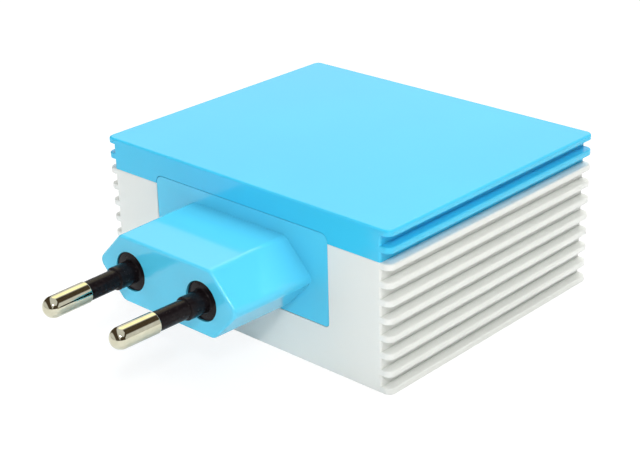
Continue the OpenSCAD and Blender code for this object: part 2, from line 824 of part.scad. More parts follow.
// One half of the ferrite core: a back and three legs that meet the other half in the middle
module ferrite_half(side) {
    color("dimgray")
        at_transformer()
            translate([0, 0, -ferrite_h / 2]) linear_extrude(ferrite_h) scale([1, side]) {
                translate([-ferrite_w / 2, window_l / 2]) square([ferrite_w, ferrite_leg]);
                translate([-ferrite_mid / 2, 0]) square([ferrite_mid, ferrite_l / 2]);
                for (x = sides)
                    translate([x * (ferrite_w - ferrite_leg) / 2 - ferrite_leg / 2, 0])
                        square([ferrite_leg, ferrite_l / 2]);
            }
}

module trafo_pin_places() {
    for (y = sides, n = [-1.5 : 1 : 1.5])
        translate([n * trafo_pin_pitch, ferrite_y + y * trafo_pin_y, 0]) children();
}

module transformer_bobbin() {
    flange_size = [tube_w + 2 * winding_t, tube_h + 2 * winding_t];
    low = board_top - ferrite_z;
    color("ivory")
        difference() {
            at_transformer() {
                upright(-bobbin_l / 2, bobbin_l) square([tube_w, tube_h], center = true);
                for (y = sides) {
                    upright(y * (bobbin_l - bobbin_t) / 2 - bobbin_t / 2, bobbin_t) {
                        square(flange_size, center = true);
                        translate([-flange_size[0] / 2, low]) square([flange_size[0], -low]);
                    }
                    box_at(0, y * (bobbin_l / 2 - bobbin_t + (rail_d + bobbin_t) / 2), low,
                        rail_w, rail_d + bobbin_t, rail_h);
                }
            }
            at_transformer()
                upright(-ferrite_l / 2, ferrite_l)
                    square([ferrite_mid + 2 * bobbin_gap, ferrite_h + 2 * bobbin_gap], center = true);
            trafo_pin_places() translate([0, 0, board_top - overrun])
                cylinder(d = lead_d + 2 * bush_gap, h = trafo_pin_in + overrun);
        }
}

module transformer_winding() {
    w = tube_w + 2 * winding_t;
    h = tube_h + 2 * winding_t;
    color("khaki")
        at_transformer()
            upright(-coil_l / 2, coil_l)
                difference() {
                    rounded_square(w, h, winding_t);
                    square([tube_w, tube_h], center = true);
                }
}

module transformer_pins() {
    color("silver")
        trafo_pin_places()
            translate([0, 0, lead_bottom]) cylinder(d = lead_d, h = board_top + trafo_pin_in - lead_bottom);
}

// Capacitors

// An upright can: aluminium top with a pressed cross, a groove near its foot
module can(x, y, d, h, dx, dy) {
    top_inset = d / 16;
    groove_z = h / 7;
    translate([x, y, board_top])
        difference() {
            cylinder(d = d, h = h);
            translate([0, 0, groove_z])
                rotate_extrude() translate([d / 2 + top_inset / 2, 0]) circle(top_inset);
            for (a = [0, 90])
                rotate([0, 0, a])
                    translate([-d / 3, -top_inset / 2, h - top_inset / 2])
                        cube([2 * d / 3, top_inset, top_inset]);
        }
    lead_pair(x, y, dx, dy, board_top);
}

module bulk_capacitor(n) {
    color("dimgray") can(-column_x, bulk_y[n - 1], bulk_d, bulk_h, 0, bulk_d * can_lead_share);
}

module output_capacitor(n) {
    color("darkslateblue") can(output_x[n - 1], output_y, output_d, output_h, output_d * can_lead_share, 0);
}

module filter_capacitor() {
    corner_r = box_w / 8;
    color("gold") {
        translate([column_x, box_y, board_top]) linear_extrude(box_h) rounded_square(box_w, box_l, corner_r);
        lead_pair(column_x, box_y, 0, box_l * box_lead_share, board_top);
    }
}

// A coated disc on edge, with two leads
module coated_disc(x, y, d, t) {
    r = t / 3;
    lift = d / 8;
    translate([x, y, board_top + lift + d / 2]) rotate([90, 0, 0]) {
        cylinder(d = d - 2 * r, h = t, center = true);
        cylinder(d = d, h = t - 2 * r, center = true);
        for (z = sides)
            translate([0, 0, z * (t / 2 - r)]) rotate_extrude() translate([d / 2 - r, 0]) circle(r);
    }
    lead_pair(x, y, d * disc_lead_share, 0, board_top + lift + d / 4);
}

module safety_capacitor() {
    color("royalblue") coated_disc(column_x, disc_cap_y, disc_cap_d, disc_cap_t);
}

module varistor() {
    color("royalblue") coated_disc(varistor_x, varistor_y, varistor_d, varistor_t);
}

// Input parts

module choke_core() {
    color("dimgray")
        translate([choke_x, 0, board_top])
            upright(choke_y - choke_leg / 2, choke_leg)
                difference() {
                    translate([-choke_w / 2, 0]) square([choke_w, choke_h]);
                    translate([-choke_w / 2 + choke_leg, choke_yoke])
                        square([choke_w - 2 * choke_leg, coil_h]);
                }
}

module choke_winding(side) {
    wire_r = coil_h / 12;
    color("sienna") {
        lead_pair(choke_x + side * coil_x, choke_y, 0, coil_lead_y, board_top + choke_yoke + wire_r);
        translate([choke_x + side * coil_x, choke_y, board_top + choke_yoke])
            difference() {
                cylinder(d = choke_coil_d, h = coil_h);
                for (n = [1 : 5])
                    translate([0, 0, n * coil_h / 6])
                        rotate_extrude() translate([choke_coil_d / 2 + wire_r / 2, 0]) circle(wire_r);
                box_at(0, 0, -overrun, choke_leg + 2 * contact_gap, choke_leg + 2 * contact_gap,
                    coil_h + 2 * overrun);
            }
    }
}

module fuse() {
    cap_l = fuse_l / 4;
    color("linen") {
        translate([fuse_x, fuse_y, board_top + fuse_d / 2]) rotate([0, 90, 0]) {
            cylinder(d = fuse_d * 0.85, h = fuse_l, center = true);
            for (s = sides) translate([0, 0, s * (fuse_l - cap_l) / 2])
                cylinder(d = fuse_d, h = cap_l, center = true);
            cylinder(d = lead_d, h = fuse_l + 2 * lead_d, center = true);
        }
        lead_pair(fuse_x, fuse_y, fuse_l / 2 + lead_d, 0, board_top + fuse_d / 2);
        for (s = sides)
            translate([fuse_x + s * (fuse_l / 2 + lead_d), fuse_y, board_top + fuse_d / 2]) sphere(d = lead_d);
    }
}

// A moulded package on flat legs along its two long sides
module package(x, y, w, l, h, legs) {
    leg_w = l / (3 * legs);
    leg_t = h / 10;
    belt = h / 2;
    box_at(x, y, board_top + leg_t, w, l, h - leg_t);
    for (s = sides, n = [1 : legs]) {
        leg_y = y + (n - (legs + 1) / 2) * l / legs;
        box_at(x + s * (w / 2 + leg_t), leg_y, board_top, 2 * leg_t, leg_w, belt);
        box_at(x + s * (w / 2 + leg_t + belt / 4), leg_y, board_top, 2 * leg_t + belt / 2, leg_w, leg_t);
    }
}

module bridge_rectifier() {
    color("darkslategray") package(column_x, bridge_y, bridge_w, bridge_l, bridge_h, large_legs);
}

module optocoupler() {
    color("darkslategray") package(column_x, opto_y, opto_w, opto_l, opto_h, large_legs);
}

module controller_chip() {
    color("darkslategray") package(-column_x, chip_y, chip_w, chip_l, chip_h, chip_legs);
}

// A chip on the plug side of the upright board, above the transformer's level
module port_chip(side) {
    leg_t = chip_h / 10;
    x = side * (socket_x(socket_count) + socket_x(socket_count - 1)) / 2;
    z = board_top + port_board_h / 4;
    color("darkslategray")
        translate([x, port_front - chip_h / 2, z]) {
            translate([0, -leg_t / 2, 0]) cube([chip_l, chip_h - leg_t, chip_w], center = true);
            for (s = sides, n = [-1.5 : 1 : 1.5])
                translate([n * chip_l / 4, chip_h / 4, s * (chip_w + chip_h / 2) / 2])
                    cube([chip_l / 12, chip_h / 2, chip_h / 2], center = true);
        }
}

// Heat sinks and the power devices screwed to them

module heat_sink(side) {
    color("lightgray")
        difference() {
            translate([0, ferrite_y - sink_l / 2, 0])
                upright(0, sink_l) scale([side, 1]) {
                    translate([sink_x, board_top]) square([sink_t, sink_h]);
                    translate([device_x - sink_fold, board_top + sink_h - sink_t]) square([sink_fold, sink_t]);
                }
            at_screw(side) translate([0, 0, -screw_l - overrun])
                cylinder(d = screw_d + 2 * hole_gap, h = screw_l + 2 * overrun);
        }
    color("lightgray")
        for (s = sides)
            box_at(side * (sink_x + sink_t / 2), ferrite_y + s * sink_tab_y, lead_bottom,
                sink_t, sink_tab_w, board_top - lead_bottom + overrun);
}

// Places its children at a heat sink screw: Z points out of the power device's tab
module at_screw(side) {
    translate([side * (device_x + tab_t), ferrite_y, screw_z]) rotate([0, side * 90, 0]) children();
}

module power_device(side) {
    body_z = board_top + device_lift;
    color("darkslategray")
        difference() {
            union() {
                box_at(side * (device_x + device_t / 2), ferrite_y, body_z, device_t, device_w, device_h);
                box_at(side * (device_x + tab_t / 2), ferrite_y, body_z, tab_t, device_w, device_h + tab_h);
                for (n = [-1 : 1])
                    box_at(side * (device_x + device_t / 2), ferrite_y + n * device_lead_pitch, lead_bottom,
                        device_lead_t, device_lead_w, body_z - lead_bottom + overrun);
            }
            at_screw(side) translate([0, 0, -tab_t - overrun])
                cylinder(d = screw_d + 2 * hole_gap, h = tab_t + 2 * overrun);
        }
}

module heat_sink_screws() {
    slot_w = screw_head_d / 6;
    color("silver")
        for (side = sides)
            at_screw(side)
                difference() {
                    union() {
                        cylinder(d = screw_head_d, h = screw_head_h);
                        translate([0, 0, -screw_l]) cylinder(d = screw_d, h = screw_l + screw_head_h / 2);
                    }
                    for (a = [0, 90])
                        rotate([0, 0, a])
                            translate([0, 0, screw_head_h])
                                cube([screw_d, slot_w, screw_head_h], center = true);
                }
}

lower_case();
top_cover();
plug_panel();
pin_holder(-1);  // pin_holder_left
pin_holder(1);  // pin_holder_right
plug_pin(-1);  // plug_pin_left
plug_pin(1);  // plug_pin_right
contact_blade(-1);  // contact_blade_left
contact_blade(1);  // contact_blade_right
main_board();
port_board();
usb_shell(1);  // usb_shell_1
usb_shell(2);  // usb_shell_2
usb_shell(3);  // usb_shell_3
usb_shell(4);  // usb_shell_4
usb_tongue(1);  // usb_tongue_1
usb_tongue(2);  // usb_tongue_2
usb_tongue(3);  // usb_tongue_3
usb_tongue(4);  // usb_tongue_4
usb_contacts(1);  // usb_contacts_1
usb_contacts(2);  // usb_contacts_2
usb_contacts(3);  // usb_contacts_3
usb_contacts(4);  // usb_contacts_4
ferrite_half(-1);  // transformer_core_front
ferrite_half(1);  // transformer_core_rear
transformer_bobbin();
transformer_winding();
transformer_pins();
bulk_capacitor(1);  // bulk_capacitor_1
bulk_capacitor(2);  // bulk_capacitor_2
output_capacitor(1);  // output_capacitor_1
output_capacitor(2);  // output_capacitor_2
output_capacitor(3);  // output_capacitor_3
choke_core();
choke_winding(-1);  // choke_winding_left
choke_winding(1);  // choke_winding_right
filter_capacitor();
safety_capacitor();
fuse();
varistor();
bridge_rectifier();
optocoupler();
controller_chip();
port_chip(-1);  // port_chip_left
port_chip(1);  // port_chip_right
heat_sink(-1);  // primary_heat_sink
heat_sink(1);  // secondary_heat_sink
power_device(-1);  // power_transistor
power_device(1);  // output_rectifier
heat_sink_screws();
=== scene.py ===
import json
import math

import bmesh
import bpy
from mathutils import Matrix, Vector


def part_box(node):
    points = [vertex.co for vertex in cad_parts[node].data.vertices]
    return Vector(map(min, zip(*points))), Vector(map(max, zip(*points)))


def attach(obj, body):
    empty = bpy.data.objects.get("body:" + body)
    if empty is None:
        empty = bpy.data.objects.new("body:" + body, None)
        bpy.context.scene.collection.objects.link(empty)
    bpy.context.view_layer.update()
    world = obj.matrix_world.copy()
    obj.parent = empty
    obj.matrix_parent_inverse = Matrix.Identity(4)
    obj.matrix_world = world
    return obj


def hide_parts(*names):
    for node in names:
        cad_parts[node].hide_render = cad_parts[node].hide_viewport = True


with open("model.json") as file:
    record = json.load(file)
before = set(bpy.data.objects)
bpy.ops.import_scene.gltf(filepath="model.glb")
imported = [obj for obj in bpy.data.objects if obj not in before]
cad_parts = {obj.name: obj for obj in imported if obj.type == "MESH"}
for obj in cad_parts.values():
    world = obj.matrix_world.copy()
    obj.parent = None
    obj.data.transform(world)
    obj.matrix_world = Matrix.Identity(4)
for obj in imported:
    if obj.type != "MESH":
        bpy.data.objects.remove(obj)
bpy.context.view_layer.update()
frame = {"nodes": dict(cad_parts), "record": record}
mm = 0.001
print("frame loaded:", len(frame["nodes"]), "nodes")

# what the modelling helpers go by; they take places in millimetres, in the frame of the part
near = 0.01  # two places this close are the same
overrun = 1  # how far a cutting shape stands past what it cuts
mostly = 0.9  # an edge or a normal with this much of an axis runs along it
hardly = 0.1  # and with less than this it runs across it
point = 0.001  # the radius that stands for a closed end while a profile is turned
weld = 0.003  # corners this close become one


def same(place, other):
    return abs(place - other) < near


def leaveEdit():
    if bpy.context.mode != "OBJECT":
        bpy.ops.object.mode_set(mode="OBJECT")


def only(*pieces):  # selects these and makes the first one active
    leaveEdit()
    bpy.ops.object.select_all(action="DESELECT")
    for piece in pieces:
        piece.select_set(True)
    bpy.context.view_layer.objects.active = pieces[0]


def fresh(name):  # the object just added, with its place and size applied
    bpy.ops.object.transform_apply(location=True, rotation=True, scale=True)
    piece = bpy.context.active_object
    piece.name = name
    piece.data.name = name
    return piece


def block(name, low, high):
    leaveEdit()
    bpy.ops.object.select_all(action="DESELECT")
    size = [(b - a) * mm for a, b in zip(low, high)]
    middle = [(a + b) / 2 * mm for a, b in zip(low, high)]
    bpy.ops.mesh.primitive_cube_add(size=1, location=middle, scale=size)
    return fresh(name)


def pick(piece, kind, test):  # goes to edit mode and selects what passes the test
    only(piece)
    bpy.ops.object.mode_set(mode="EDIT")
    bpy.ops.mesh.select_mode(type=kind)
    bpy.ops.mesh.select_all(action="DESELECT")
    shape = bmesh.from_edit_mesh(piece.data)
    if kind == "FACE":
        for face in shape.faces:
            face.select_set(bool(test(face.calc_center_median() / mm, face.normal)))
    elif kind == "EDGE":
        for edge in shape.edges:
            a, b = edge.verts[0].co, edge.verts[1].co
            edge.select_set(bool(test((a + b) / 2 / mm, (b - a).normalized())))
    else:
        for vert in shape.verts:
            vert.select_set(bool(test(vert.co / mm)))
    shape.select_flush_mode()
    bmesh.update_edit_mesh(piece.data)


def roundOff(piece, radius, steps, test):
    pick(piece, "EDGE", test)
    bpy.ops.mesh.bevel(offset=radius * mm, segments=steps, profile=0.5, affect="EDGES")
    leaveEdit()


def drawOut(*way):  # extrudes the selected faces
    bpy.ops.mesh.extrude_region_move(TRANSFORM_OT_translate={"value": [step * mm for step in way]})


def carve(piece, tool, way="DIFFERENCE"):
    only(piece)
    step = piece.modifiers.new("carve", "BOOLEAN")
    step.operation = way
    step.solver = "EXACT"
    step.object = tool
    bpy.ops.object.modifier_apply(modifier=step.name)
    bpy.data.objects.remove(tool, do_unlink=True)


def faceOut(piece):
    only(piece)
    bpy.ops.object.mode_set(mode="EDIT")
    bpy.ops.mesh.select_all(action="SELECT")
    bpy.ops.mesh.remove_doubles(threshold=weld * mm)
    bpy.ops.mesh.normals_make_consistent(inside=False)
    leaveEdit()


def twin(piece, name, move=(0, 0, 0), flip=False):  # a copy with a mesh of its own
    only(piece)
    bpy.ops.object.duplicate(linked=False)
    other = bpy.context.active_object
    other.location = [step * mm for step in move]
    if flip:
        other.scale = (-1, 1, 1)
    fresh(name)
    if flip:
        faceOut(other)
    return other


def together(*pieces):
    only(*pieces)
    bpy.ops.object.join()
    return pieces[0]


def turned(name, profile, steps):  # rings along Z from (place, radius) pairs; a radius of 0 closes an end
    leaveEdit()
    bpy.ops.object.select_all(action="DESELECT")
    place = profile[0][0]
    radius = max(profile[0][1], point)
    bpy.ops.mesh.primitive_circle_add(vertices=steps, radius=radius * mm, location=(0, 0, place * mm))
    piece = fresh(name)
    bpy.ops.object.mode_set(mode="EDIT")
    bpy.ops.mesh.select_all(action="SELECT")
    for spot, wide in profile[1:]:
        wide = max(wide, point)
        drawOut(0, 0, spot - place)
        bpy.ops.transform.resize(value=(wide / radius, wide / radius, 1), center_override=(0, 0, 0))
        place, radius = spot, wide
    faceOut(piece)
    return piece


def finishShape(piece, angle=32):
    only(piece)
    bpy.ops.object.shade_smooth_by_angle(angle=math.radians(angle))
    step = piece.modifiers.new("even", "WEIGHTED_NORMAL")
    step.keep_sharp = True
    step.weight = 60
    bpy.ops.object.modifier_apply(modifier=step.name)


# the lower case is a white tray with eight fins down each side
case = {
    "width": 73, "depth": 61.6, "height": 31.6, "split": 25.25,
    "wall": 2, "floor": 2, "roof": 2, "cornerRadius": 0.5, "innerRadius": 0.25,
    "finThick": 1.2, "finReach": 2.1, "finRoot": 0.6, "finShort": 0.01,
    "finCorner": 1.5, "finTopEdge": 0.28, "finLowEdge": 0.13,
    "coverTopEdge": 0.45, "coreLap": 0.35, "fins": 8, "coverFins": 2, "seamEdge": 0.09,
}
halfWide = case["width"] / 2
halfDeep = case["depth"] / 2
finDeep = halfDeep - case["finShort"]  # fins end a hair inside the faces, so the two never share a plane
coreHalf = halfWide - case["finReach"]
innerHalf = coreHalf - case["wall"]
innerDeep = halfDeep - case["wall"]


def sideFin(name):  # one fin on the right side, its underside at 0
    root = coreHalf - case["cornerRadius"] - case["finRoot"]
    thick = case["finThick"]
    strip = block(name, (root, -finDeep, 0), (halfWide, finDeep, thick))
    roundOff(strip, case["finCorner"], 8, lambda mid, way: abs(way.z) > mostly and same(mid.x, halfWide))

    def onRim(mid, way):
        return abs(way.z) < hardly and mid.x > root + near

    roundOff(strip, case["finTopEdge"], 4, lambda mid, way: onRim(mid, way) and same(mid.z, thick))
    roundOff(strip, case["finLowEdge"], 3, lambda mid, way: onRim(mid, way) and same(mid.z, 0))
    return strip


def finRow(name, places):  # copies of the one fin, on both sides
    first = sideFin(name)
    rows = []
    for n, place in enumerate(places):
        rows.append(twin(first, f"{name}Right{n}", (0, 0, place)))
        rows.append(twin(first, f"{name}Left{n}", (0, 0, place), flip=True))
    bpy.data.objects.remove(first, do_unlink=True)
    return together(*rows)


def plateOf(name, z, topEdge):  # a fin that goes right across, for the underside and the top
    top = z + case["finThick"]
    plate = block(name, (-halfWide, -finDeep, z), (halfWide, finDeep, top))
    roundOff(plate, case["finCorner"], 8, lambda mid, way: abs(way.z) > mostly)
    roundOff(plate, topEdge, 5, lambda mid, way: abs(way.z) < hardly and same(mid.z, top))
    roundOff(plate, case["finLowEdge"], 3, lambda mid, way: abs(way.z) < hardly and same(mid.z, z))
    return plate


def coreOf(name, low, high, hollow, deep):  # the box between the fins, hollowed from above (1) or below (-1)
    core = block(name, (-coreHalf, -halfDeep, low), (coreHalf, halfDeep, high))
    pick(core, "FACE", lambda mid, normal: normal.z * hollow > mostly)
    bpy.ops.mesh.inset(thickness=case["wall"] * mm, depth=0)
    drawOut(0, 0, -hollow * deep)
    leaveEdit()
    for radius, steps, x in ((case["cornerRadius"], 6, coreHalf), (case["innerRadius"], 3, innerHalf)):
        roundOff(core, radius, steps, lambda mid, way: abs(way.z) > mostly and same(abs(mid.x), x))
    seam = high if hollow > 0 else low
    roundOff(core, case["seamEdge"], 2, lambda mid, way: abs(way.x) > mostly
             and same(mid.z, seam) and same(abs(mid.y), halfDeep))
    return core


panel = {
    "halfWidth": 22.2, "low": 8.8, "high": 27, "topRadius": 1.5, "lowRadius": 0.8, "edge": 0.12,
    "gap": 0.1, "windowPast": 8, "backLap": 0.5,
    "flangeThick": 1.2, "flangeSide": 1.5, "flangeLow": 1, "flangeHigh": 0.75,
}


def panelShape(name, grow, front, back, past=0):  # the outline of the blue panel as an upright slab
    wide = panel["halfWidth"] + grow
    low = panel["low"] - grow
    high = panel["high"] + grow + past
    slab = block(name, (-wide, front, low), (wide, back, high))
    roundOff(slab, panel["topRadius"] + grow, 8, lambda mid, way: abs(way.y) > mostly and same(mid.z, high))
    roundOff(slab, panel["lowRadius"] + grow, 6, lambda mid, way: abs(way.y) > mostly and same(mid.z, low))
    return slab


sockets = {
    "count": 4, "pitch": 16, "z": 15.8, "gap": 0.2, "recess": 0.5, "mouthEdge": 0.15,
    "width": 13.1, "height": 5.7, "length": 14, "sheet": 0.3, "corner": 0.7,
    "footLength": 2.4, "footHalf": 0.8, "footRoot": 1, "footEdge": 0.3,
}
socketPlaces = [(n - (sockets["count"] - 1) / 2) * sockets["pitch"] for n in range(sockets["count"])]
windowWide = sockets["width"] / 2 + sockets["gap"]
windowHigh = sockets["height"] / 2 + sockets["gap"]


def socketWindow(name, x):
    z = sockets["z"]
    tool = block(name, (x - windowWide, innerDeep - overrun, z - windowHigh),
                 (x + windowWide, halfDeep + overrun, z + windowHigh))
    roundOff(tool, sockets["corner"] + sockets["gap"], 6, lambda mid, way: abs(way.y) > mostly)
    return tool


inside = {
    "postRadius": 2.5, "postRoot": 0.5, "postTop": 4.6, "pegRadius": 0.9, "pegEdge": 0.2, "pegTop": 7,
    "postSteps": 24, "postX": 29.1, "postY": (-22.7, 25.5),
    "railX": (30.8, 33), "railY": (14.1, 16.9), "railLow": 6.3, "railHigh": 22.2,
    "railThick": 1, "railEdge": 0.2,
    "guideThick": 1.2, "guideRoot": 1, "guideDeep": 2.6, "guideLap": 1, "guideLow": 7.8, "guideHigh": 22.75,
}


def boardPosts():  # posts with pegs under the main board
    foot = case["floor"] - inside["postRoot"]
    postRadius, postTop, pegRadius, pegTop, edge = (
        inside[key] for key in ("postRadius", "postTop", "pegRadius", "pegTop", "pegEdge"))
    profile = [(foot, 0), (foot, postRadius), (postTop, postRadius), (postTop, pegRadius)]
    profile += [(pegTop - edge, pegRadius), (pegTop, pegRadius - edge), (pegTop, 0)]
    post = turned("post", profile, inside["postSteps"])
    posts = [twin(post, "boardPost", (x, y, 0))
             for x in (-inside["postX"], inside["postX"]) for y in inside["postY"]]
    bpy.data.objects.remove(post, do_unlink=True)
    return posts


def boardRails():  # rails on both sides that hold the socket board upright
    start, end = inside["railX"]
    half = inside["railThick"] / 2
    rail = block("rail", (start, -half, inside["railLow"]), (end, half, inside["railHigh"]))
    roundOff(rail, inside["railEdge"], 2, lambda mid, way: abs(way.z) > mostly and same(mid.x, start))
    rails = []
    for y in inside["railY"]:
        rails.append(twin(rail, "railRight", (0, y, 0)))
        rails.append(twin(rail, "railLeft", (0, y, 0), flip=True))
    bpy.data.objects.remove(rail, do_unlink=True)
    return rails


def panelGuides():  # hooked guides that the flange of the panel slides into
    side = panel["halfWidth"] + panel["flangeSide"] + panel["gap"]
    middle = (inside["guideDeep"] - inside["guideRoot"]) / 2
    slot = panel["flangeThick"] + 2 * panel["gap"]
    hook = block("guide", (side, -innerDeep - inside["guideRoot"], inside["guideLow"]),
                 (side + inside["guideThick"], -innerDeep + inside["guideDeep"], inside["guideHigh"]))
    pick(hook, "FACE", lambda mid, normal: normal.x < -mostly)
    bpy.ops.mesh.subdivide(number_cuts=1)
    leaveEdit()
    pick(hook, "VERT", lambda spot: same(spot.x, side) and same(spot.y, -innerDeep + middle))
    bpy.ops.transform.translate(value=(0, (slot - middle) * mm, 0))
    leaveEdit()
    pick(hook, "FACE", lambda mid, normal: normal.x < -mostly and mid.y > -innerDeep + slot)
    drawOut(-inside["guideLap"], 0, 0)
    leaveEdit()
    return [hook, twin(hook, "guideLeft", flip=True)]


def lowerCase():
    body = coreOf("lowerCase", case["coreLap"], case["split"], 1, case["split"] - case["floor"])
    carve(body, plateOf("underside", 0, case["finTopEdge"]), "UNION")
    step = (case["split"] - case["finThick"]) / (case["fins"] - 1)
    carve(body, finRow("caseFin", [n * step for n in range(1, case["fins"])]), "UNION")
    carve(body, panelShape("panelWindow", panel["gap"], -halfDeep - overrun, -innerDeep + overrun,
                           panel["windowPast"]))
    for x in socketPlaces:
        carve(body, socketWindow("socketWindow", x))
    edge = sockets["mouthEdge"]
    roundOff(body, edge, 2, lambda mid, way: same(mid.y, halfDeep)
             and abs(mid.z - sockets["z"]) < windowHigh + edge
             and abs(mid.x) < socketPlaces[-1] + windowWide + edge)
    body = together(body, *boardPosts(), *boardRails(), *panelGuides())
    finishShape(body)
    return body


lip = {"gap": 0.1, "thick": 1, "depth": 2.5, "root": 1, "edge": 0.25, "notchSide": 1.6, "notchDeep": 3.4}


def coverLip():  # the rim under the cover that sits inside the case, open behind the panel
    low = case["split"] - lip["depth"]
    high = case["split"] + lip["root"]
    x = innerHalf - lip["gap"]
    y = innerDeep - lip["gap"]
    rim = block("coverLip", (-x, -y, low), (x, y, high))
    roundOff(rim, case["innerRadius"], 4, lambda mid, way: abs(way.z) > mostly)
    x -= lip["thick"]
    y -= lip["thick"]
    carve(rim, block("lipHole", (-x, -y, low - overrun), (x, y, high + overrun)))
    notch = panel["halfWidth"] + panel["flangeSide"] + lip["notchSide"]
    carve(rim, block("lipNotch", (-notch, -innerDeep - overrun, low - overrun),
                     (notch, -innerDeep + lip["notchDeep"], high + overrun)))
    roundOff(rim, lip["edge"], 2, lambda mid, way: same(mid.z, low) and abs(way.z) < hardly)
    return rim


def topCover():
    body = coreOf("topCover", case["split"], case["height"] - case["coreLap"], -1,
                  case["height"] - case["split"] - case["roof"])
    carve(body, plateOf("topPlate", case["height"] - case["finThick"], case["coverTopEdge"]), "UNION")
    step = (case["height"] - case["split"]) / case["coverFins"]
    carve(body, finRow("coverFin", [case["split"] + step - case["finThick"]]), "UNION")
    carve(body, panelShape("panelNotch", panel["gap"], -halfDeep - overrun, -innerDeep + overrun))
    body = together(body, coverLip())
    finishShape(body)
    return body


lowerCasePiece = lowerCase()
print("lower case modelled:", len(lowerCasePiece.data.polygons), "faces")
topCoverPiece = topCover()
print("top cover modelled:", len(topCoverPiece.data.polygons), "faces")


# panel, flange and the six-sided plug are one moulding
plug = {
    "faceY": -49.4, "z": 17.1, "halfHeight": 6.65, "flatHalf": 11.88, "tipHalf": 18.33, "root": 0.6,
    "draft": 0.35, "topEdge": 0.677, "sideEdge": 1.55, "faceEdge": 0.6, "faceRings": 5,
    "wall": 1.8, "front": 2.5, "hollowFlat": 0.75, "hollowTip": 2.5, "hollowPast": 3, "hollowEdge": 0.5,
    "discRadius": 3.8, "discEdge": 0.1, "discFront": 3, "discBack": 5,
    "pinX": 9.3, "lean": 1.3, "pinLength": 19.9, "sleeveLength": 10.6, "pinSteps": 64,
}


def hexagon(name, flat, tip, high, front, back):  # a box with pointed sides, wider at the back
    z = plug["z"]
    bar = block(name, (-flat, front, z - high), (flat, back, z + high))
    pick(bar, "EDGE", lambda mid, way: abs(way.z) > mostly)
    bpy.ops.mesh.subdivide(number_cuts=1)
    leaveEdit()
    for side in (-1, 1):
        pick(bar, "VERT", lambda spot: same(spot.z, z) and same(spot.x, side * flat))
        bpy.ops.transform.translate(value=(side * (tip - flat) * mm, 0, 0))
        leaveEdit()
    pick(bar, "VERT", lambda spot: same(spot.y, back))
    bpy.ops.transform.resize(value=((tip + plug["draft"]) / tip, 1, (high + plug["draft"]) / high),
                             center_override=(0, back * mm, z * mm))
    leaveEdit()
    return bar


def atPin(piece, side):  # stands a turned piece at one of the two pins
    only(piece)
    piece.rotation_euler = (math.radians(-90), 0, math.radians(-side * plug["lean"]))
    piece.location = (side * plug["pinX"] * mm, plug["faceY"] * mm, plug["z"] * mm)
    bpy.ops.object.transform_apply(location=True, rotation=True, scale=True)
    return piece


def plugBar():  # the body of the plug, with the rounded edge of its face made ring by ring
    z = plug["z"]
    edge = plug["faceEdge"]
    bar = hexagon("plugBar", plug["flatHalf"], plug["tipHalf"], plug["halfHeight"],
                  plug["faceY"] + edge, -halfDeep + plug["root"])
    roundOff(bar, plug["sideEdge"], 10, lambda mid, way: abs(way.y) > mostly and same(mid.z, z))
    roundOff(bar, plug["topEdge"], 6, lambda mid, way: abs(way.y) > mostly
             and abs(mid.z - z) > plug["halfHeight"])
    pick(bar, "FACE", lambda mid, normal: normal.y < -mostly)
    turn = math.radians(90 / plug["faceRings"])
    for n in range(plug["faceRings"]):
        inward = math.cos(n * turn) - math.cos((n + 1) * turn)
        forward = math.sin((n + 1) * turn) - math.sin(n * turn)
        bpy.ops.mesh.inset(thickness=edge * inward * mm, depth=edge * forward * mm)
    leaveEdit()
    return bar


def plugPanel():
    z = plug["z"]
    plate = panelShape("plugPanel", 0, -halfDeep, -innerDeep + panel["backLap"])
    roundOff(plate, panel["edge"], 2, lambda mid, way: same(mid.y, -halfDeep))
    side = panel["halfWidth"] + panel["flangeSide"]
    front = -innerDeep + panel["gap"]
    flange = block("flange", (-side, front, panel["low"] - panel["flangeLow"]),
                   (side, front + panel["flangeThick"], panel["high"] + panel["flangeHigh"]))
    carve(plate, flange, "UNION")
    carve(plate, plugBar(), "UNION")
    inner = hexagon("plugHollow", plug["flatHalf"] - plug["hollowFlat"], plug["tipHalf"] - plug["hollowTip"],
                    plug["halfHeight"] - plug["wall"], plug["faceY"] + plug["front"],
                    -innerDeep + plug["hollowPast"])
    roundOff(inner, plug["hollowEdge"], 3, lambda mid, way: abs(way.y) > mostly)
    carve(plate, inner)
    start, end, radius = -plug["discFront"], plug["discBack"], plug["discRadius"]
    for side in (-1, 1):
        hole = turned("discHole", [(start, 0), (start, radius), (end, radius), (end, 0)], plug["pinSteps"])
        carve(plate, atPin(hole, side))
    roundOff(plate, plug["discEdge"], 2, lambda mid, way: same(mid.y, plug["faceY"])
             and math.hypot(abs(mid.x) - plug["pinX"], mid.z - z) < radius + plug["discEdge"])
    finishShape(plate)
    return plate


def quarter(start, end, steps, hollow=False):  # a quarter round of a profile, bulging or hollow
    points = []
    for n in range(steps + 1):
        angle = math.radians(90 * n / steps)
        rise, fall = math.sin(angle), 1 - math.cos(angle)
        along, out = (rise, fall) if hollow else (fall, rise)
        points.append((start[0] + (end[0] - start[0]) * along, start[1] + (end[1] - start[1]) * out))
    return points


# radii of the bush, places behind the plug's face, and the rounds between them as (length, height)
holder = {
    "bore": 1.46, "boreEdge": (0.03, 0.05), "sleeve": 1.825, "sleeveEdge": (0.14, 0.105),
    "collar": 2.2, "collarLength": 3.9, "collarFoot": (0.2, 0.125), "collarEdge": (0.18, 0.12),
    "disc": 3.75, "discSunk": 0.3, "discFoot": (0.3, 0.25), "discEdge": (0.07, 0.07),
    "flange": 4.35, "flangeStart": 2.6, "flangeEnd": 4.1, "flangeEdge": 0.1,
    "tail": 2.8, "tailDraft": 0.05, "tailEnd": 9,
}


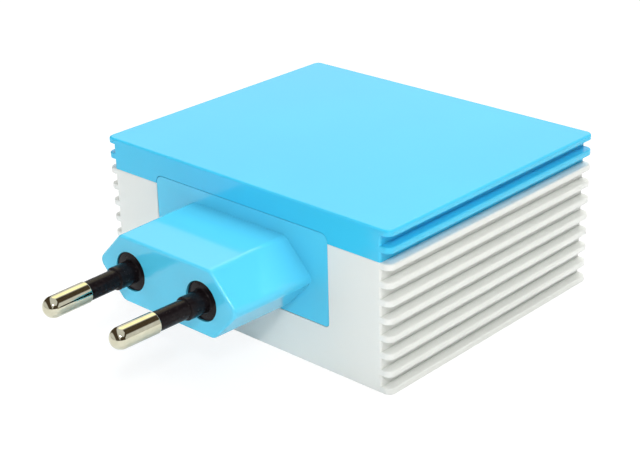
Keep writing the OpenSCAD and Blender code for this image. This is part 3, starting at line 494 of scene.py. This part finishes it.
def pinHolder(side):
    name = "pinHolderLeft" if side < 0 else "pinHolderRight"
    tip = -plug["sleeveLength"]
    top = -holder["collarLength"]
    bore, sleeve, collar, disc = (holder[key] for key in ("bore", "sleeve", "collar", "disc"))
    sunk, flange, back, edge = (holder[key] for key in ("discSunk", "flange", "flangeEnd", "flangeEdge"))
    length, height = holder["boreEdge"]
    mouth = (tip + length, bore)
    profile = [mouth, (tip, bore + height)]
    length, height = holder["sleeveEdge"]
    profile += quarter((tip, sleeve - height), (tip + length, sleeve), 2)
    length, height = holder["collarFoot"]
    profile += quarter((top - length, sleeve), (top, sleeve + height), 3, hollow=True)
    length, height = holder["collarEdge"]
    profile += quarter((top, collar - height), (top + length, collar), 2)
    length, height = holder["discFoot"]
    profile += quarter((sunk - length, collar), (sunk, collar + height), 3, hollow=True)
    length, height = holder["discEdge"]
    profile += quarter((sunk, disc - height), (sunk + length, disc), 2)
    profile += [(holder["flangeStart"], disc), (holder["flangeStart"], flange)]
    profile += [(back - edge, flange), (back, flange - edge), (back, holder["tail"])]
    profile += [(holder["tailEnd"], holder["tail"] - holder["tailDraft"]), (holder["tailEnd"], bore), mouth]
    return atPin(turned(name, profile, plug["pinSteps"]), side)


pin = {
    "radius": 2, "edge": 0.14, "domeSteps": 15, "shank": 1.4, "shankEnd": 9,
    "stub": 0.98, "stubEnd": 10, "stubEdge": (0.1, 0.08),
}


def plugPin(side):
    name = "plugPinLeft" if side < 0 else "plugPinRight"
    radius, edge, stub, shank = (pin[key] for key in ("radius", "edge", "stub", "shank"))
    start, straight = -plug["sleeveLength"], radius - plug["pinLength"]
    length, height = pin["stubEdge"]
    profile = [(pin["stubEnd"], 0), (pin["stubEnd"], stub - height), (pin["stubEnd"] - length, stub)]
    profile += [(pin["shankEnd"], stub), (pin["shankEnd"], shank), (start, shank)]
    profile += quarter((start, radius - edge), (start - edge, radius), 2)
    profile += quarter((straight, radius), (straight - radius, 0), pin["domeSteps"], hollow=True)
    return atPin(turned(name, profile, plug["pinSteps"]), side)


plugPanelPiece = plugPanel()
print("plug panel modelled:", len(plugPanelPiece.data.polygons), "faces")
holderPieces = [pinHolder(-1), pinHolder(1)]
pinPieces = [plugPin(-1), plugPin(1)]
for piece in holderPieces + pinPieces:
    finishShape(piece, 40)
print("pins and holders turned")


# folded steel shells with spring leaves, and their moulded tongues
leaf = {
    "x": 3.1, "width": 2.4, "start": 20.5, "end": 27.5, "dip": 0.32,
    "slot": 0.35, "lap": 0.1, "cut": 0.6,
}


def springLeaf(tube, x, side):  # cut free on three sides and bent inwards, at the top (1) or bottom (-1)
    half = leaf["width"] / 2
    wall = sockets["z"] + side * sockets["height"] / 2
    low, high = wall - leaf["cut"], wall + leaf["cut"]
    start, end, slot = leaf["start"], leaf["end"], leaf["slot"]
    for edge in (-1, 1):
        spot = x + edge * (half + slot / 2)
        carve(tube, block("slot", (spot - slot / 2, start, low), (spot + slot / 2, end + slot, high)))
    wide = half + leaf["lap"]
    carve(tube, block("slot", (x - wide, end, low), (x + wide, end + slot, high)))
    pick(tube, "VERT", lambda spot: same(spot.y, end) and abs(spot.x - x) < half + near
         and (spot.z - sockets["z"]) * side > 0)
    bpy.ops.transform.translate(value=(0, 0, -side * leaf["dip"] * mm))
    leaveEdit()


def socketShell(name):  # around x = 0
    w = sockets["width"] / 2
    h = sockets["height"] / 2
    z = sockets["z"]
    sheet = sockets["sheet"]
    mouth = halfDeep - sockets["recess"]
    back = mouth - sockets["length"]
    tube = block(name, (-w, back, z - h), (w, mouth, z + h))
    roundOff(tube, sockets["corner"], 6, lambda mid, way: abs(way.y) > mostly)
    pick(tube, "FACE", lambda mid, normal: abs(normal.y) > mostly)
    bpy.ops.mesh.inset(thickness=sheet * mm, depth=0)
    bpy.ops.mesh.delete(type="FACE")
    leaveEdit()
    pick(tube, "EDGE", lambda mid, way: (same(mid.y, back) or same(mid.y, mouth))
         and abs(mid.x) < w - sheet + near and abs(mid.z - z) < h - sheet + near)
    bpy.ops.mesh.bridge_edge_loops()
    leaveEdit()
    for side in (-1, 1):
        for x in (-leaf["x"], leaf["x"]):
            springLeaf(tube, x, side)
    faceOut(tube)
    foot = block("foot", (w - sheet, back - sockets["footLength"], z - sockets["footHalf"]),
                 (w, back + sockets["footRoot"], z + sockets["footHalf"]))
    roundOff(foot, sockets["footEdge"], 2, lambda mid, way: abs(way.x) > mostly and mid.y < back)
    return together(tube, foot, twin(foot, "footLeft", flip=True))


tongue = {
    "width": 11.1, "thick": 1.84, "z": 16.71, "length": 8.8, "root": 1, "tipCorner": 0.45, "tipEdge": 0.3,
    "block": 3.6, "blockGap": 0.05, "blockCorner": 0.4, "blockEdge": 0.15,
    "spots": (-3.5, -1, 1, 3.5), "channelHalf": 0.55, "channelDeep": 0.35, "channelPast": 0.5,
}


def socketTongue(name):
    w = sockets["width"] / 2 - sockets["sheet"] - tongue["blockGap"]
    h = sockets["height"] / 2 - sockets["sheet"] - tongue["blockGap"]
    z = sockets["z"]
    back = halfDeep - sockets["recess"] - sockets["length"]
    front = back + tongue["block"]
    tip = front + tongue["length"]
    low = tongue["z"] - tongue["thick"] / 2
    base = block(name, (-w, back, z - h), (w, front, z + h))
    roundOff(base, tongue["blockCorner"], 4, lambda mid, way: abs(way.y) > mostly)
    roundOff(base, tongue["blockEdge"], 2, lambda mid, way: same(mid.y, front))
    bar = block("bar", (-tongue["width"] / 2, back + tongue["root"], low),
                (tongue["width"] / 2, tip, low + tongue["thick"]))
    roundOff(bar, tongue["tipCorner"], 4, lambda mid, way: same(mid.y, tip) and abs(way.x) > mostly)
    roundOff(bar, tongue["tipEdge"], 3, lambda mid, way: same(mid.y, tip)
             and abs(way.x) < hardly and abs(way.y) < hardly)
    carve(base, bar, "UNION")
    half = tongue["channelHalf"]
    for spot in tongue["spots"]:  # channels for the contacts
        carve(base, block("channel", (spot - half, back - overrun, low - tongue["channelDeep"]),
                          (spot + half, front + tongue["channelPast"], low)))
    return base


firstShell = socketShell("usbShell")
firstTongue = socketTongue("usbTongue")
shellPieces = []
tonguePieces = []
for n, x in enumerate(socketPlaces):
    shellPieces.append(twin(firstShell, f"usbShell{n + 1}", (x, 0, 0)))
    tonguePieces.append(twin(firstTongue, f"usbTongue{n + 1}", (x, 0, 0)))
    finishShape(shellPieces[-1])
    finishShape(tonguePieces[-1])
bpy.data.objects.remove(firstShell, do_unlink=True)
bpy.data.objects.remove(firstTongue, do_unlink=True)
print("sockets modelled:", len(shellPieces[0].data.polygons), "faces each")


# a Link is a node socket, and sums on it add the nodes they need
class Link:
    def __init__(self, finish, socket):
        self.finish = finish
        self.socket = socket

    def sum(self, way, other, swapped=False):
        pair = (other, self) if swapped else (self, other)
        return self.finish.node("Math", {"operation": way}, {0: pair[0], 1: pair[1]})

    def __add__(self, other):
        return self.sum("ADD", other)

    def __radd__(self, other):
        return self.sum("ADD", other, True)

    def __sub__(self, other):
        return self.sum("SUBTRACT", other)

    def __rsub__(self, other):
        return self.sum("SUBTRACT", other, True)

    def __mul__(self, other):
        return self.sum("MULTIPLY", other)

    def __rmul__(self, other):
        return self.sum("MULTIPLY", other, True)

    def __truediv__(self, other):
        return self.sum("DIVIDE", other)

    def __rtruediv__(self, other):
        return self.sum("DIVIDE", other, True)

    def __gt__(self, other):
        return self.sum("GREATER_THAN", other)

    def __lt__(self, other):
        return self.sum("LESS_THAN", other)

    def __abs__(self):
        return self.finish.node("Math", {"operation": "ABSOLUTE"}, {0: self})


class Finish:
    def __init__(self, name, **shader):
        self.material = bpy.data.materials.new(name)
        self.material.use_nodes = True
        self.tree = self.material.node_tree
        self.tree.nodes.clear()
        self.count = 0
        self.shader = self.plain("BsdfPrincipled")
        for socket, value in shader.items():
            self.shader.inputs[socket.replace("_", " ")].default_value = value
        self.end = self.plain("OutputMaterial")
        self.tree.links.new(self.shader.outputs[0], self.end.inputs["Surface"])
        self.where = self.node("TexCoord", {}, {}, "Object")

    def plain(self, kind):  # nodes stand ten to a row in the editor
        made = self.tree.nodes.new("ShaderNode" + kind)
        made.location = (self.count % 10 * 180 - 1600, -(self.count // 10) * 240)
        self.count += 1
        return made

    def node(self, kind, settings=None, inputs=None, out=0):
        made = self.plain(kind)
        for key, value in (settings or {}).items():
            setattr(made, key, value)
        for key, value in (inputs or {}).items():
            if isinstance(value, Link):
                self.tree.links.new(value.socket, made.inputs[key])
            else:
                made.inputs[key].default_value = value
        return Link(self, made.outputs[out])

    def feed(self, **links):
        for socket, link in links.items():
            self.tree.links.new(link.socket, self.shader.inputs[socket.replace("_", " ")])
        return self

    def noise(self, scale, detail=3, rough=0.5, stretch=None):
        place = self.where
        if stretch:
            place = self.node("Mapping", {}, {"Vector": self.where, "Scale": stretch})
        return self.node("TexNoise", {},
                         {"Vector": place, "Scale": scale, "Detail": detail, "Roughness": rough})

    def blend(self, amount, low, high):  # colours
        low = (*low, 1) if isinstance(low, tuple) and len(low) == 3 else low
        high = (*high, 1) if isinstance(high, tuple) and len(high) == 3 else high
        return self.node("Mix", {"data_type": "RGBA"}, {0: amount, 6: low, 7: high}, 2)

    def band(self, value, start, end, low=0.0, high=1.0):  # a soft step
        return self.node("MapRange", {"interpolation_type": "SMOOTHSTEP"},
                         {"Value": value, "From Min": start, "From Max": end, "To Min": low, "To Max": high})

    def axes(self):
        made = self.plain("SeparateXYZ")
        self.tree.links.new(self.where.socket, made.inputs[0])
        return [Link(self, made.outputs[n]) for n in range(3)]

    def bump(self, height, strength, depth):
        return self.node("Bump", {},
                         {"Height": height, "Strength": strength, "Distance": depth * mm}, "Normal")


def tone(colour, factor):
    return tuple(min(1.0, c * factor) for c in colour)


def mouldedGloss(name, colour, roughness, cloud, grain):  # glossy moulded plastic
    it = Finish(name, IOR=1.5)
    flow = it.noise(26, 3, 0.55)  # slow change of tone from the melt
    fine = it.noise(900, 2, 0.6)
    base = it.blend(it.band(flow, 0.3, 0.7), tone(colour, 1 - cloud), tone(colour, 1 + cloud * 0.5))
    dust = it.band(it.noise(2600, 1, 0.5), 0.78, 0.84)
    base = it.blend(dust * 0.1, base, (0.75, 0.78, 0.78))
    rub = it.band(it.noise(34, 4, 0.6, (1.0, 0.3, 1.5)), 0.42, 0.85)  # where hands have dulled it
    rough = roughness + rub * 0.03 + fine * 0.02 + dust * 0.04
    wave = it.noise(160, 2, 0.5) * 0.6 + fine * grain
    return it.feed(Base_Color=base, Roughness=rough, Normal=it.bump(wave, 0.12, 0.02)).material


finishes = {}
finishes["case_white"] = mouldedGloss("caseWhite", (0.75, 0.77, 0.75), 0.29, 0.015, 0.2)
finishes["cover_blue"] = mouldedGloss("coverBlue", (0.043, 0.53, 0.82), 0.15, 0.03, 0.08)
finishes["plug_blue"] = mouldedGloss("plugBlue", (0.09, 0.575, 0.83), 0.10, 0.03, 0.08)
finishes["tongue_white"] = mouldedGloss("tongueWhite", (0.72, 0.72, 0.69), 0.4, 0.02, 0.6)


def sleeveBlack():
    it = Finish("sleeveBlack", IOR=1.5, Specular_IOR_Level=0.12)
    fine = it.noise(1500, 3, 0.6)
    base = it.blend(it.band(fine, 0.4, 0.8), (0.007, 0.005, 0.006), (0.015, 0.011, 0.012))
    rub = it.band(it.noise(240, 4, 0.65, (1.6, 0.2, 1.6)), 0.5, 0.8)
    dust = it.band(it.noise(3200, 1, 0.5), 0.72, 0.78)
    base = it.blend(dust * 0.2, base, (0.2, 0.18, 0.16))
    rough = 0.16 + rub * 0.07 + fine * 0.03
    return it.feed(Base_Color=base, Roughness=rough, Normal=it.bump(fine + rub * 0.5, 0.15, 0.015)).material


def pinNickel():
    it = Finish("pinNickel", Metallic=1.0)
    y = it.axes()[1]
    rings = it.node("TexNoise", {"noise_dimensions": "1D"},
                    {"W": y, "Scale": 5200, "Detail": 3, "Roughness": 0.6})
    patch = it.noise(420, 4, 0.6)
    scratch = it.band(it.noise(900, 3, 0.7, (1.2, 0.12, 1.2)), 0.62, 0.72)
    base = it.blend(it.band(patch, 0.35, 0.75), (0.59, 0.57, 0.44), (0.68, 0.66, 0.53))
    base = it.blend(scratch * 0.4, base, (0.4, 0.36, 0.28))
    rough = 0.07 + it.band(patch, 0.5, 0.8) * 0.05 + scratch * 0.12 + rings * 0.03
    return it.feed(Base_Color=base, Roughness=rough,
                   Normal=it.bump(rings + scratch * -0.6, 0.08, 0.006)).material


def rolledMetal(name, colour, roughness, stretch):  # sheet, wire and plate
    it = Finish(name, Metallic=1.0)
    line = it.noise(500, 5, 0.65, stretch)
    stain = it.noise(90, 4, 0.6)
    base = it.blend(it.band(stain, 0.35, 0.75), tone(colour, 0.82), colour)
    rough = roughness + line * 0.1 + it.band(stain, 0.55, 0.8) * 0.1
    return it.feed(Base_Color=base, Roughness=rough, Normal=it.bump(line, 0.2, 0.01)).material


def boardGreen():
    it = Finish("boardGreen", IOR=1.5)
    tracks = it.node("TexVoronoi", {"feature": "DISTANCE_TO_EDGE", "distance": "EUCLIDEAN"},
                     {"Vector": it.where, "Scale": 260})
    copper = it.band(tracks, 0.09, 0.13)
    weave = it.node("TexWave", {"wave_type": "BANDS", "bands_direction": "DIAGONAL"},
                    {"Vector": it.where, "Scale": 900, "Distortion": 0.6, "Detail": 1})
    base = it.blend(copper, (0.012, 0.10, 0.035), (0.022, 0.20, 0.065))
    base = it.blend(weave * 0.12, base, (0.05, 0.26, 0.1))
    rough = 0.38 + weave * 0.12 - copper * 0.08
    return it.feed(Base_Color=base, Roughness=rough,
                   Normal=it.bump(copper + weave * 0.1, 0.3, 0.03)).material


def grainy(name, colour, roughness, scale, depth):  # sintered, cast and dipped parts
    it = Finish(name, IOR=1.5)
    speck = it.noise(scale, 4, 0.65)
    broad = it.noise(scale / 12, 3, 0.5)
    base = it.blend(it.band(speck, 0.35, 0.7), tone(colour, 0.72), tone(colour, 1.18))
    base = it.blend(it.band(broad, 0.4, 0.8) * 0.3, base, tone(colour, 0.8))
    rough = roughness + speck * 0.15 + it.band(broad, 0.5, 0.8) * 0.08
    return it.feed(Base_Color=base, Roughness=rough, Normal=it.bump(speck, 0.3, depth)).material


def woundWire():
    it = Finish("woundWire", Metallic=0.85, IOR=1.5)
    turnsAndShade = it.node("TexWave", {"bands_direction": "Z"},
                    {"Vector": it.where, "Scale": 620, "Distortion": 0.35, "Detail": 1})
    # the wire is painted darker between the turns, as shade in the gaps between them; the bump of the turns
    # is real
    base = it.blend(turnsAndShade, (0.24, 0.07, 0.025), (0.72, 0.30, 0.13))
    rough = 0.3 + turnsAndShade * 0.1 + it.noise(300) * 0.08
    return it.feed(Base_Color=base, Roughness=rough, Normal=it.bump(turnsAndShade, 0.7, 0.08)).material


def yellowTape():
    it = Finish("yellowTape", IOR=1.5)
    lap = it.node("TexWave", {"bands_direction": "Y", "wave_profile": "SAW"},
                  {"Vector": it.where, "Scale": 46, "Distortion": 0.8, "Detail": 2})
    creaseAndShade = it.band(it.noise(180, 5, 0.6, (1.0, 3.0, 1.0)), 0.5, 0.7)
    base = it.blend(lap, (0.74, 0.50, 0.05), (0.86, 0.66, 0.11))
    # the creases are painted a darker yellow here, as shade in their folds; their roughness and bump are
    # real
    base = it.blend(creaseAndShade * 0.25, base, (0.6, 0.38, 0.04))
    rough = 0.28 + creaseAndShade * 0.2
    return it.feed(Base_Color=base, Roughness=rough, Normal=it.bump(lap + creaseAndShade * 0.4, 0.3, 0.04)).material


# sleeve and stripe of the cans, and the share of the half width where the stripe starts
cans = {
    "can_black": ((0.02, 0.02, 0.024), (0.55, 0.55, 0.52)),
    "can_blue": ((0.02, 0.035, 0.14), (0.5, 0.52, 0.56)),
}
can = {"topDeep": 0.3, "scoreStart": 0.12, "scoreEnd": 0.22, "stripeShare": 0.86}


def canSleeve(name, node, sleeve, stripe):  # shrink sleeve round a can with a scored bare top
    low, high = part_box(node)
    centre = (low + high) / 2
    it = Finish(name, IOR=1.5)
    x, y, z = it.axes()
    top = z > high.z - can["topDeep"] * mm
    offX = x - centre.x
    offY = y - centre.y
    off = it.node("Math", {"operation": "MINIMUM"}, {0: abs(offX), 1: abs(offY)})
    scoreAndShade = it.band(off, can["scoreStart"] * mm, can["scoreEnd"] * mm, 1, 0)
    mark = (offX / ((high.x - low.x) / 2)) > can["stripeShare"]
    fine = it.noise(700, 3, 0.6)
    side = it.blend(mark, tone(sleeve, 0.9), stripe)
    side = it.blend(it.band(fine, 0.5, 0.8) * 0.3, side, tone(sleeve, 1.5))
    # the score lines on the bare top are painted darker here, as shade in their grooves; their bump is real
    bare = it.blend(scoreAndShade * 0.6 + fine * 0.2, (0.78, 0.78, 0.77), (0.3, 0.3, 0.3))
    base = it.blend(top, side, bare)
    rough = 0.28 + top * 0.08 + fine * 0.1
    return it.feed(Base_Color=base, Metallic=top, Roughness=rough,
                   Normal=it.bump(top * scoreAndShade * -1.0 + fine * 0.2, 0.4, 0.05)).material


def fuseTube(capShare=0.34):  # a ceramic tube; its caps start at this share of its length from the middle
    low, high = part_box("fuse")
    it = Finish("fuseTube", IOR=1.5)
    x = it.axes()[0]
    away = abs(x - (low.x + high.x) / 2)
    cap = away > (high.x - low.x) * capShare
    fine = it.noise(800, 3, 0.6)
    base = it.blend(cap, (0.60, 0.50, 0.34), (0.76, 0.75, 0.72))
    base = it.blend(it.band(fine, 0.45, 0.8) * 0.25, base, (0.35, 0.3, 0.22))
    rough = 0.5 - cap * 0.2 + fine * 0.1
    return it.feed(Base_Color=base, Metallic=cap, Roughness=rough, Normal=it.bump(fine, 0.25, 0.02)).material


finishes["sleeve_black"] = sleeveBlack()
finishes["pin_nickel"] = pinNickel()
finishes["brass"] = rolledMetal("stampedBrass", (0.80, 0.56, 0.22), 0.28, (1, 0.1, 1))
finishes["board_green"] = boardGreen()
finishes["shell_steel"] = rolledMetal("shellSteel", (0.74, 0.74, 0.72), 0.28, (1, 0.1, 1))
finishes["contact_gold"] = rolledMetal("contactGold", (0.90, 0.66, 0.24), 0.28, (1, 0.15, 1))
finishes["ferrite"] = grainy("ferrite", (0.065, 0.065, 0.07), 0.5, 900, 0.03)
finishes["bobbin"] = grainy("bobbinBlack", (0.035, 0.035, 0.036), 0.42, 1300, 0.015)
finishes["tape"] = yellowTape()
finishes["tinned"] = rolledMetal("tinnedWire", (0.78, 0.78, 0.76), 0.3, (1, 1, 0.2))
finishes["copper"] = woundWire()
finishes["box_yellow"] = grainy("boxYellow", (0.78, 0.55, 0.07), 0.38, 600, 0.02)
finishes["disc_blue"] = grainy("discBlue", (0.03, 0.12, 0.46), 0.3, 420, 0.05)
finishes["fuse_tan"] = fuseTube()
finishes["chip_black"] = grainy("chipBlack", (0.028, 0.028, 0.03), 0.46, 1500, 0.02)
finishes["sink_alu"] = rolledMetal("sinkAluminium", (0.80, 0.81, 0.82), 0.3, (0.15, 1, 1))
finishes["screw_steel"] = rolledMetal("screwSteel", (0.66, 0.66, 0.64), 0.3, (1, 1, 1))
print("finishes made:", len(finishes))

slotOf = {part["node"]: part["material_slot"] for part in frame["record"]["subparts"]}
for name, node in frame["nodes"].items():
    slot = slotOf[name]
    finish = canSleeve("canOf_" + name, name, *cans[slot]) if slot in cans else finishes[slot]
    node.data.materials.clear()
    node.data.materials.append(finish)


def dress(piece, slot, *nodes):
    piece.data.materials.clear()
    piece.data.materials.append(finishes[slot])
    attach(piece, "root")
    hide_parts(*nodes)


dress(lowerCasePiece, "case_white", "lower_case")
dress(topCoverPiece, "cover_blue", "top_cover")
dress(plugPanelPiece, "plug_blue", "plug_panel")
for piece, side in zip(holderPieces, ("left", "right")):
    dress(piece, "sleeve_black", "pin_holder_" + side)
for piece, side in zip(pinPieces, ("left", "right")):
    dress(piece, "pin_nickel", "plug_pin_" + side)
for n in range(sockets["count"]):
    dress(shellPieces[n], "shell_steel", f"usb_shell_{n + 1}")
    dress(tonguePieces[n], "tongue_white", f"usb_tongue_{n + 1}")
print("pieces dressed")


studio = {
    "floorSize": 6, "floorDrop": 0.03, "floorTone": 0.92, "floorGlow": 1.08, "floorShow": 0.8,
    "ambient": 0.05, "ambientTint": (0.97, 1, 1, 1), "lampsAway": 0.9, "target": (0, -5, 15),
}
white = (1, 1, 1, 1)


def floorFinish():
    it = Finish("floor")
    it.tree.nodes.remove(it.shader)
    bright = (studio["floorTone"],) * 3
    paper = it.blend(it.noise(30, 2, 0.5), tone(bright, 0.99), bright)
    matt = it.node("BsdfDiffuse", {}, {"Color": paper})
    glow = it.node("Emission", {}, {"Color": white, "Strength": studio["floorGlow"]})
    seen = it.node("LightPath", {}, {}, "Is Camera Ray") * studio["floorShow"]
    both = it.node("MixShader", {}, {0: seen, 1: matt, 2: glow})
    it.tree.links.new(both.socket, it.end.inputs["Surface"])
    return it.material


bpy.ops.object.select_all(action="DESELECT")
bpy.ops.mesh.primitive_plane_add(size=studio["floorSize"], location=(0, 0, -studio["floorDrop"] * mm))
floor = bpy.context.active_object
floor.name = "floor"
floor.data.materials.append(floorFinish())

world = bpy.data.worlds.new("studio")
bpy.context.scene.world = world
world.use_nodes = True
world.node_tree.nodes.clear()


def worldNode(kind, settings=None, inputs=None, out=0):
    made = world.node_tree.nodes.new("ShaderNode" + kind)
    for name, value in (settings or {}).items():
        setattr(made, name, value)
    for name, value in (inputs or {}).items():
        if isinstance(value, bpy.types.NodeSocket):
            world.node_tree.links.new(value, made.inputs[name])
        else:
            made.inputs[name].default_value = value
    return made.outputs[out]


def worldSum(way, a, b=0):
    return worldNode("Math", {"operation": way}, {0: a, 1: b})


def worldBand(value, band):  # fades in from the first place of the band to the second
    return worldNode("MapRange", {"interpolation_type": "SMOOTHSTEP"},
                     {"Value": value, "From Min": band[0], "From Max": band[1]})


def worldAll(first, *others):  # where all of them are on
    for other in others:
        first = worldSum("MULTIPLY", first, other)
    return first


def worldAny(first, *others):  # where one of them is on
    for other in others:
        first = worldSum("MAXIMUM", first, other)
    return first


def worldBlend(amount, low, high):
    return worldNode("Mix", {"data_type": "RGBA"}, {0: amount, 6: low, 7: high}, 2)


direction = worldNode("TexCoord", {}, {}, "Generated")
wayX, wayY, wayZ = (worldNode("SeparateXYZ", {}, {0: direction}, axis) for axis in "XYZ")


def worldFacing(way):  # how nearly a direction points along another
    return worldNode("VectorMath", {"operation": "DOT_PRODUCT"},
                     {0: direction, 1: Vector(way).normalized()}, "Value")


# what shiny parts mirror: pale walls, a warm lamp behind on the left, and dark places with soft edges;
# room is a ring right round, corner a spot on the right, gap a patch above and arm a strip across it
around = {
    "wall": (0.8, 0.8, 0.8, 1), "farWall": white, "farY": (0.3, 0.6), "farX": (0.1, -0.2),
    "lamp": (1.85, 1.7, 1.1, 1), "lampWay": (-0.45, 0.55, 0.70), "lampBand": (0.945, 0.975),
    "dark": (0.085, 0.062, 0.04, 1),
    "roomWay": (0.606, 0.705, 0.368), "roomShift": 0.34, "roomBand": (0.33, 0.22),
    "cornerWay": (0.92, -0.28, 0.14), "cornerBand": (0.87, 0.93),
    "gapX": ((-0.22, 0.02), (0.56, 0.44)), "gapY": ((0.40, 0.48), (0.70, 0.62)),
    "gapZ": ((0.645, 0.685), (0.90, 0.86)),
    "armWay": (-0.244, -0.671, 0.699), "armBand": (0.2, 0.11), "armX": (0.22, 0.36), "armY": (-0.25, -0.1),
}


def surroundings():
    shifted = worldSum("ADD", worldFacing(around["roomWay"]), around["roomShift"])
    room = worldBand(worldSum("ABSOLUTE", shifted), around["roomBand"])
    corner = worldBand(worldFacing(around["cornerWay"]), around["cornerBand"])
    gap = worldAll(*(worldBand(way, band) for way, key in ((wayX, "gapX"), (wayY, "gapY"), (wayZ, "gapZ"))
                     for band in around[key]))
    tilt = worldSum("ABSOLUTE", worldFacing(around["armWay"]))
    arm = worldAll(worldBand(tilt, around["armBand"]), worldBand(wayX, around["armX"]),
                   worldBand(wayY, around["armY"]))
    behind = worldAll(worldBand(wayY, around["farY"]), worldBand(wayX, around["farX"]))
    glow = worldBand(worldFacing(around["lampWay"]), around["lampBand"])
    walls = worldBlend(glow, worldBlend(behind, around["wall"], around["farWall"]), around["lamp"])
    return worldBlend(worldAny(room, corner, arm, gap), walls, around["dark"])


path = world.node_tree.nodes.new("ShaderNodeLightPath")
shiny = worldAny(path.outputs["Is Glossy Ray"], path.outputs["Is Transmission Ray"])
soft = worldNode("Background", {}, {"Color": studio["ambientTint"], "Strength": studio["ambient"]})
mirror = worldNode("Background", {}, {"Color": surroundings(), "Strength": 1})
backdrop = worldNode("Background", {}, {"Color": white, "Strength": 1})
lit = worldNode("MixShader", {}, {0: shiny, 1: soft, 2: mirror})
seen = worldNode("MixShader", {}, {0: path.outputs["Is Camera Ray"], 1: lit, 2: backdrop})
last = world.node_tree.nodes.new("ShaderNodeOutputWorld")
world.node_tree.links.new(seen, last.inputs["Surface"])

lampPlan = {
    "key": {"power": 2.4, "size": 0.09, "way": (0.86, -0.8, 1.0), "tint": (1.0, 0.985, 0.96)},
    "top": {"power": 6.4, "size": 0.7, "way": (-0.15, 0.35, 1.0), "tint": (1.0, 1.0, 1.0)},
    "fill": {"power": 2.0, "size": 0.6, "way": (-0.5, -1.0, 0.22), "tint": (0.95, 0.99, 1.0)},
    "side": {"power": 1.2, "size": 0.6, "way": (1.0, 0.25, 0.35), "tint": (1.0, 0.975, 0.92)},
    "low": {"power": 1.55, "size": 0.6, "way": (0.35, -1.0, 0.12), "tint": (1.0, 1.0, 1.0)},
    "high": {"power": 2.7, "size": 0.5, "way": (1.0, -0.2, 1.5), "tint": (1.0, 0.985, 0.95)},
    "rear": {"power": 2.0, "size": 0.6, "way": (-0.8, 1.0, 0.3), "tint": (1.0, 1.0, 1.0)},
}
target = Vector(studio["target"]) * mm
for name, plan in lampPlan.items():
    bpy.ops.object.light_add(type="AREA")
    lamp = bpy.context.active_object
    lamp.name = name
    lamp.data.shape = "DISK"
    lamp.data.size = plan["size"]
    lamp.data.energy = plan["power"]
    lamp.data.color = plan["tint"]
    lamp.location = target + Vector(plan["way"]).normalized() * studio["lampsAway"]
    lamp.rotation_euler = (target - lamp.location).to_track_quat("-Z", "Y").to_euler()
    lamp.visible_glossy = name == "key"  # the others would show as discs on the pins

# the camera was solved from the photograph; it looks past the middle of the front face's lower edge
view = {
    "azimuth": 43.17, "elevation": 23.81, "roll": -1.46, "lens": 84.96, "sensor": 36, "clip": 10,
    "back": 287.54, "right": 15.07, "up": 20.08,
}
az = math.radians(view["azimuth"])
el = math.radians(view["elevation"])
roll = math.radians(view["roll"])
backWay = Vector((math.sin(az) * math.cos(el), -math.cos(az) * math.cos(el), math.sin(el)))
rightWay = Vector((math.cos(az), math.sin(az), 0))
upWay = backWay.cross(rightWay)
eye = backWay * view["back"] + rightWay * view["right"] + upWay * view["up"] + Vector((0, -halfDeep, 0))
rightRolled = rightWay * math.cos(roll) + upWay * math.sin(roll)
upRolled = upWay * math.cos(roll) - rightWay * math.sin(roll)
bpy.ops.object.camera_add()
camera = bpy.context.active_object
camera.name = "camera"
camera.data.sensor_width = view["sensor"]
camera.data.lens = view["lens"]
camera.data.clip_start = view["clip"] * mm
turn = Matrix((rightRolled, upRolled, backWay)).transposed().to_4x4()
camera.matrix_world = Matrix.Translation(eye * mm) @ turn
scene = bpy.context.scene
scene.camera = camera
scene.view_settings.view_transform = "Standard"
print("stage, light and camera set")
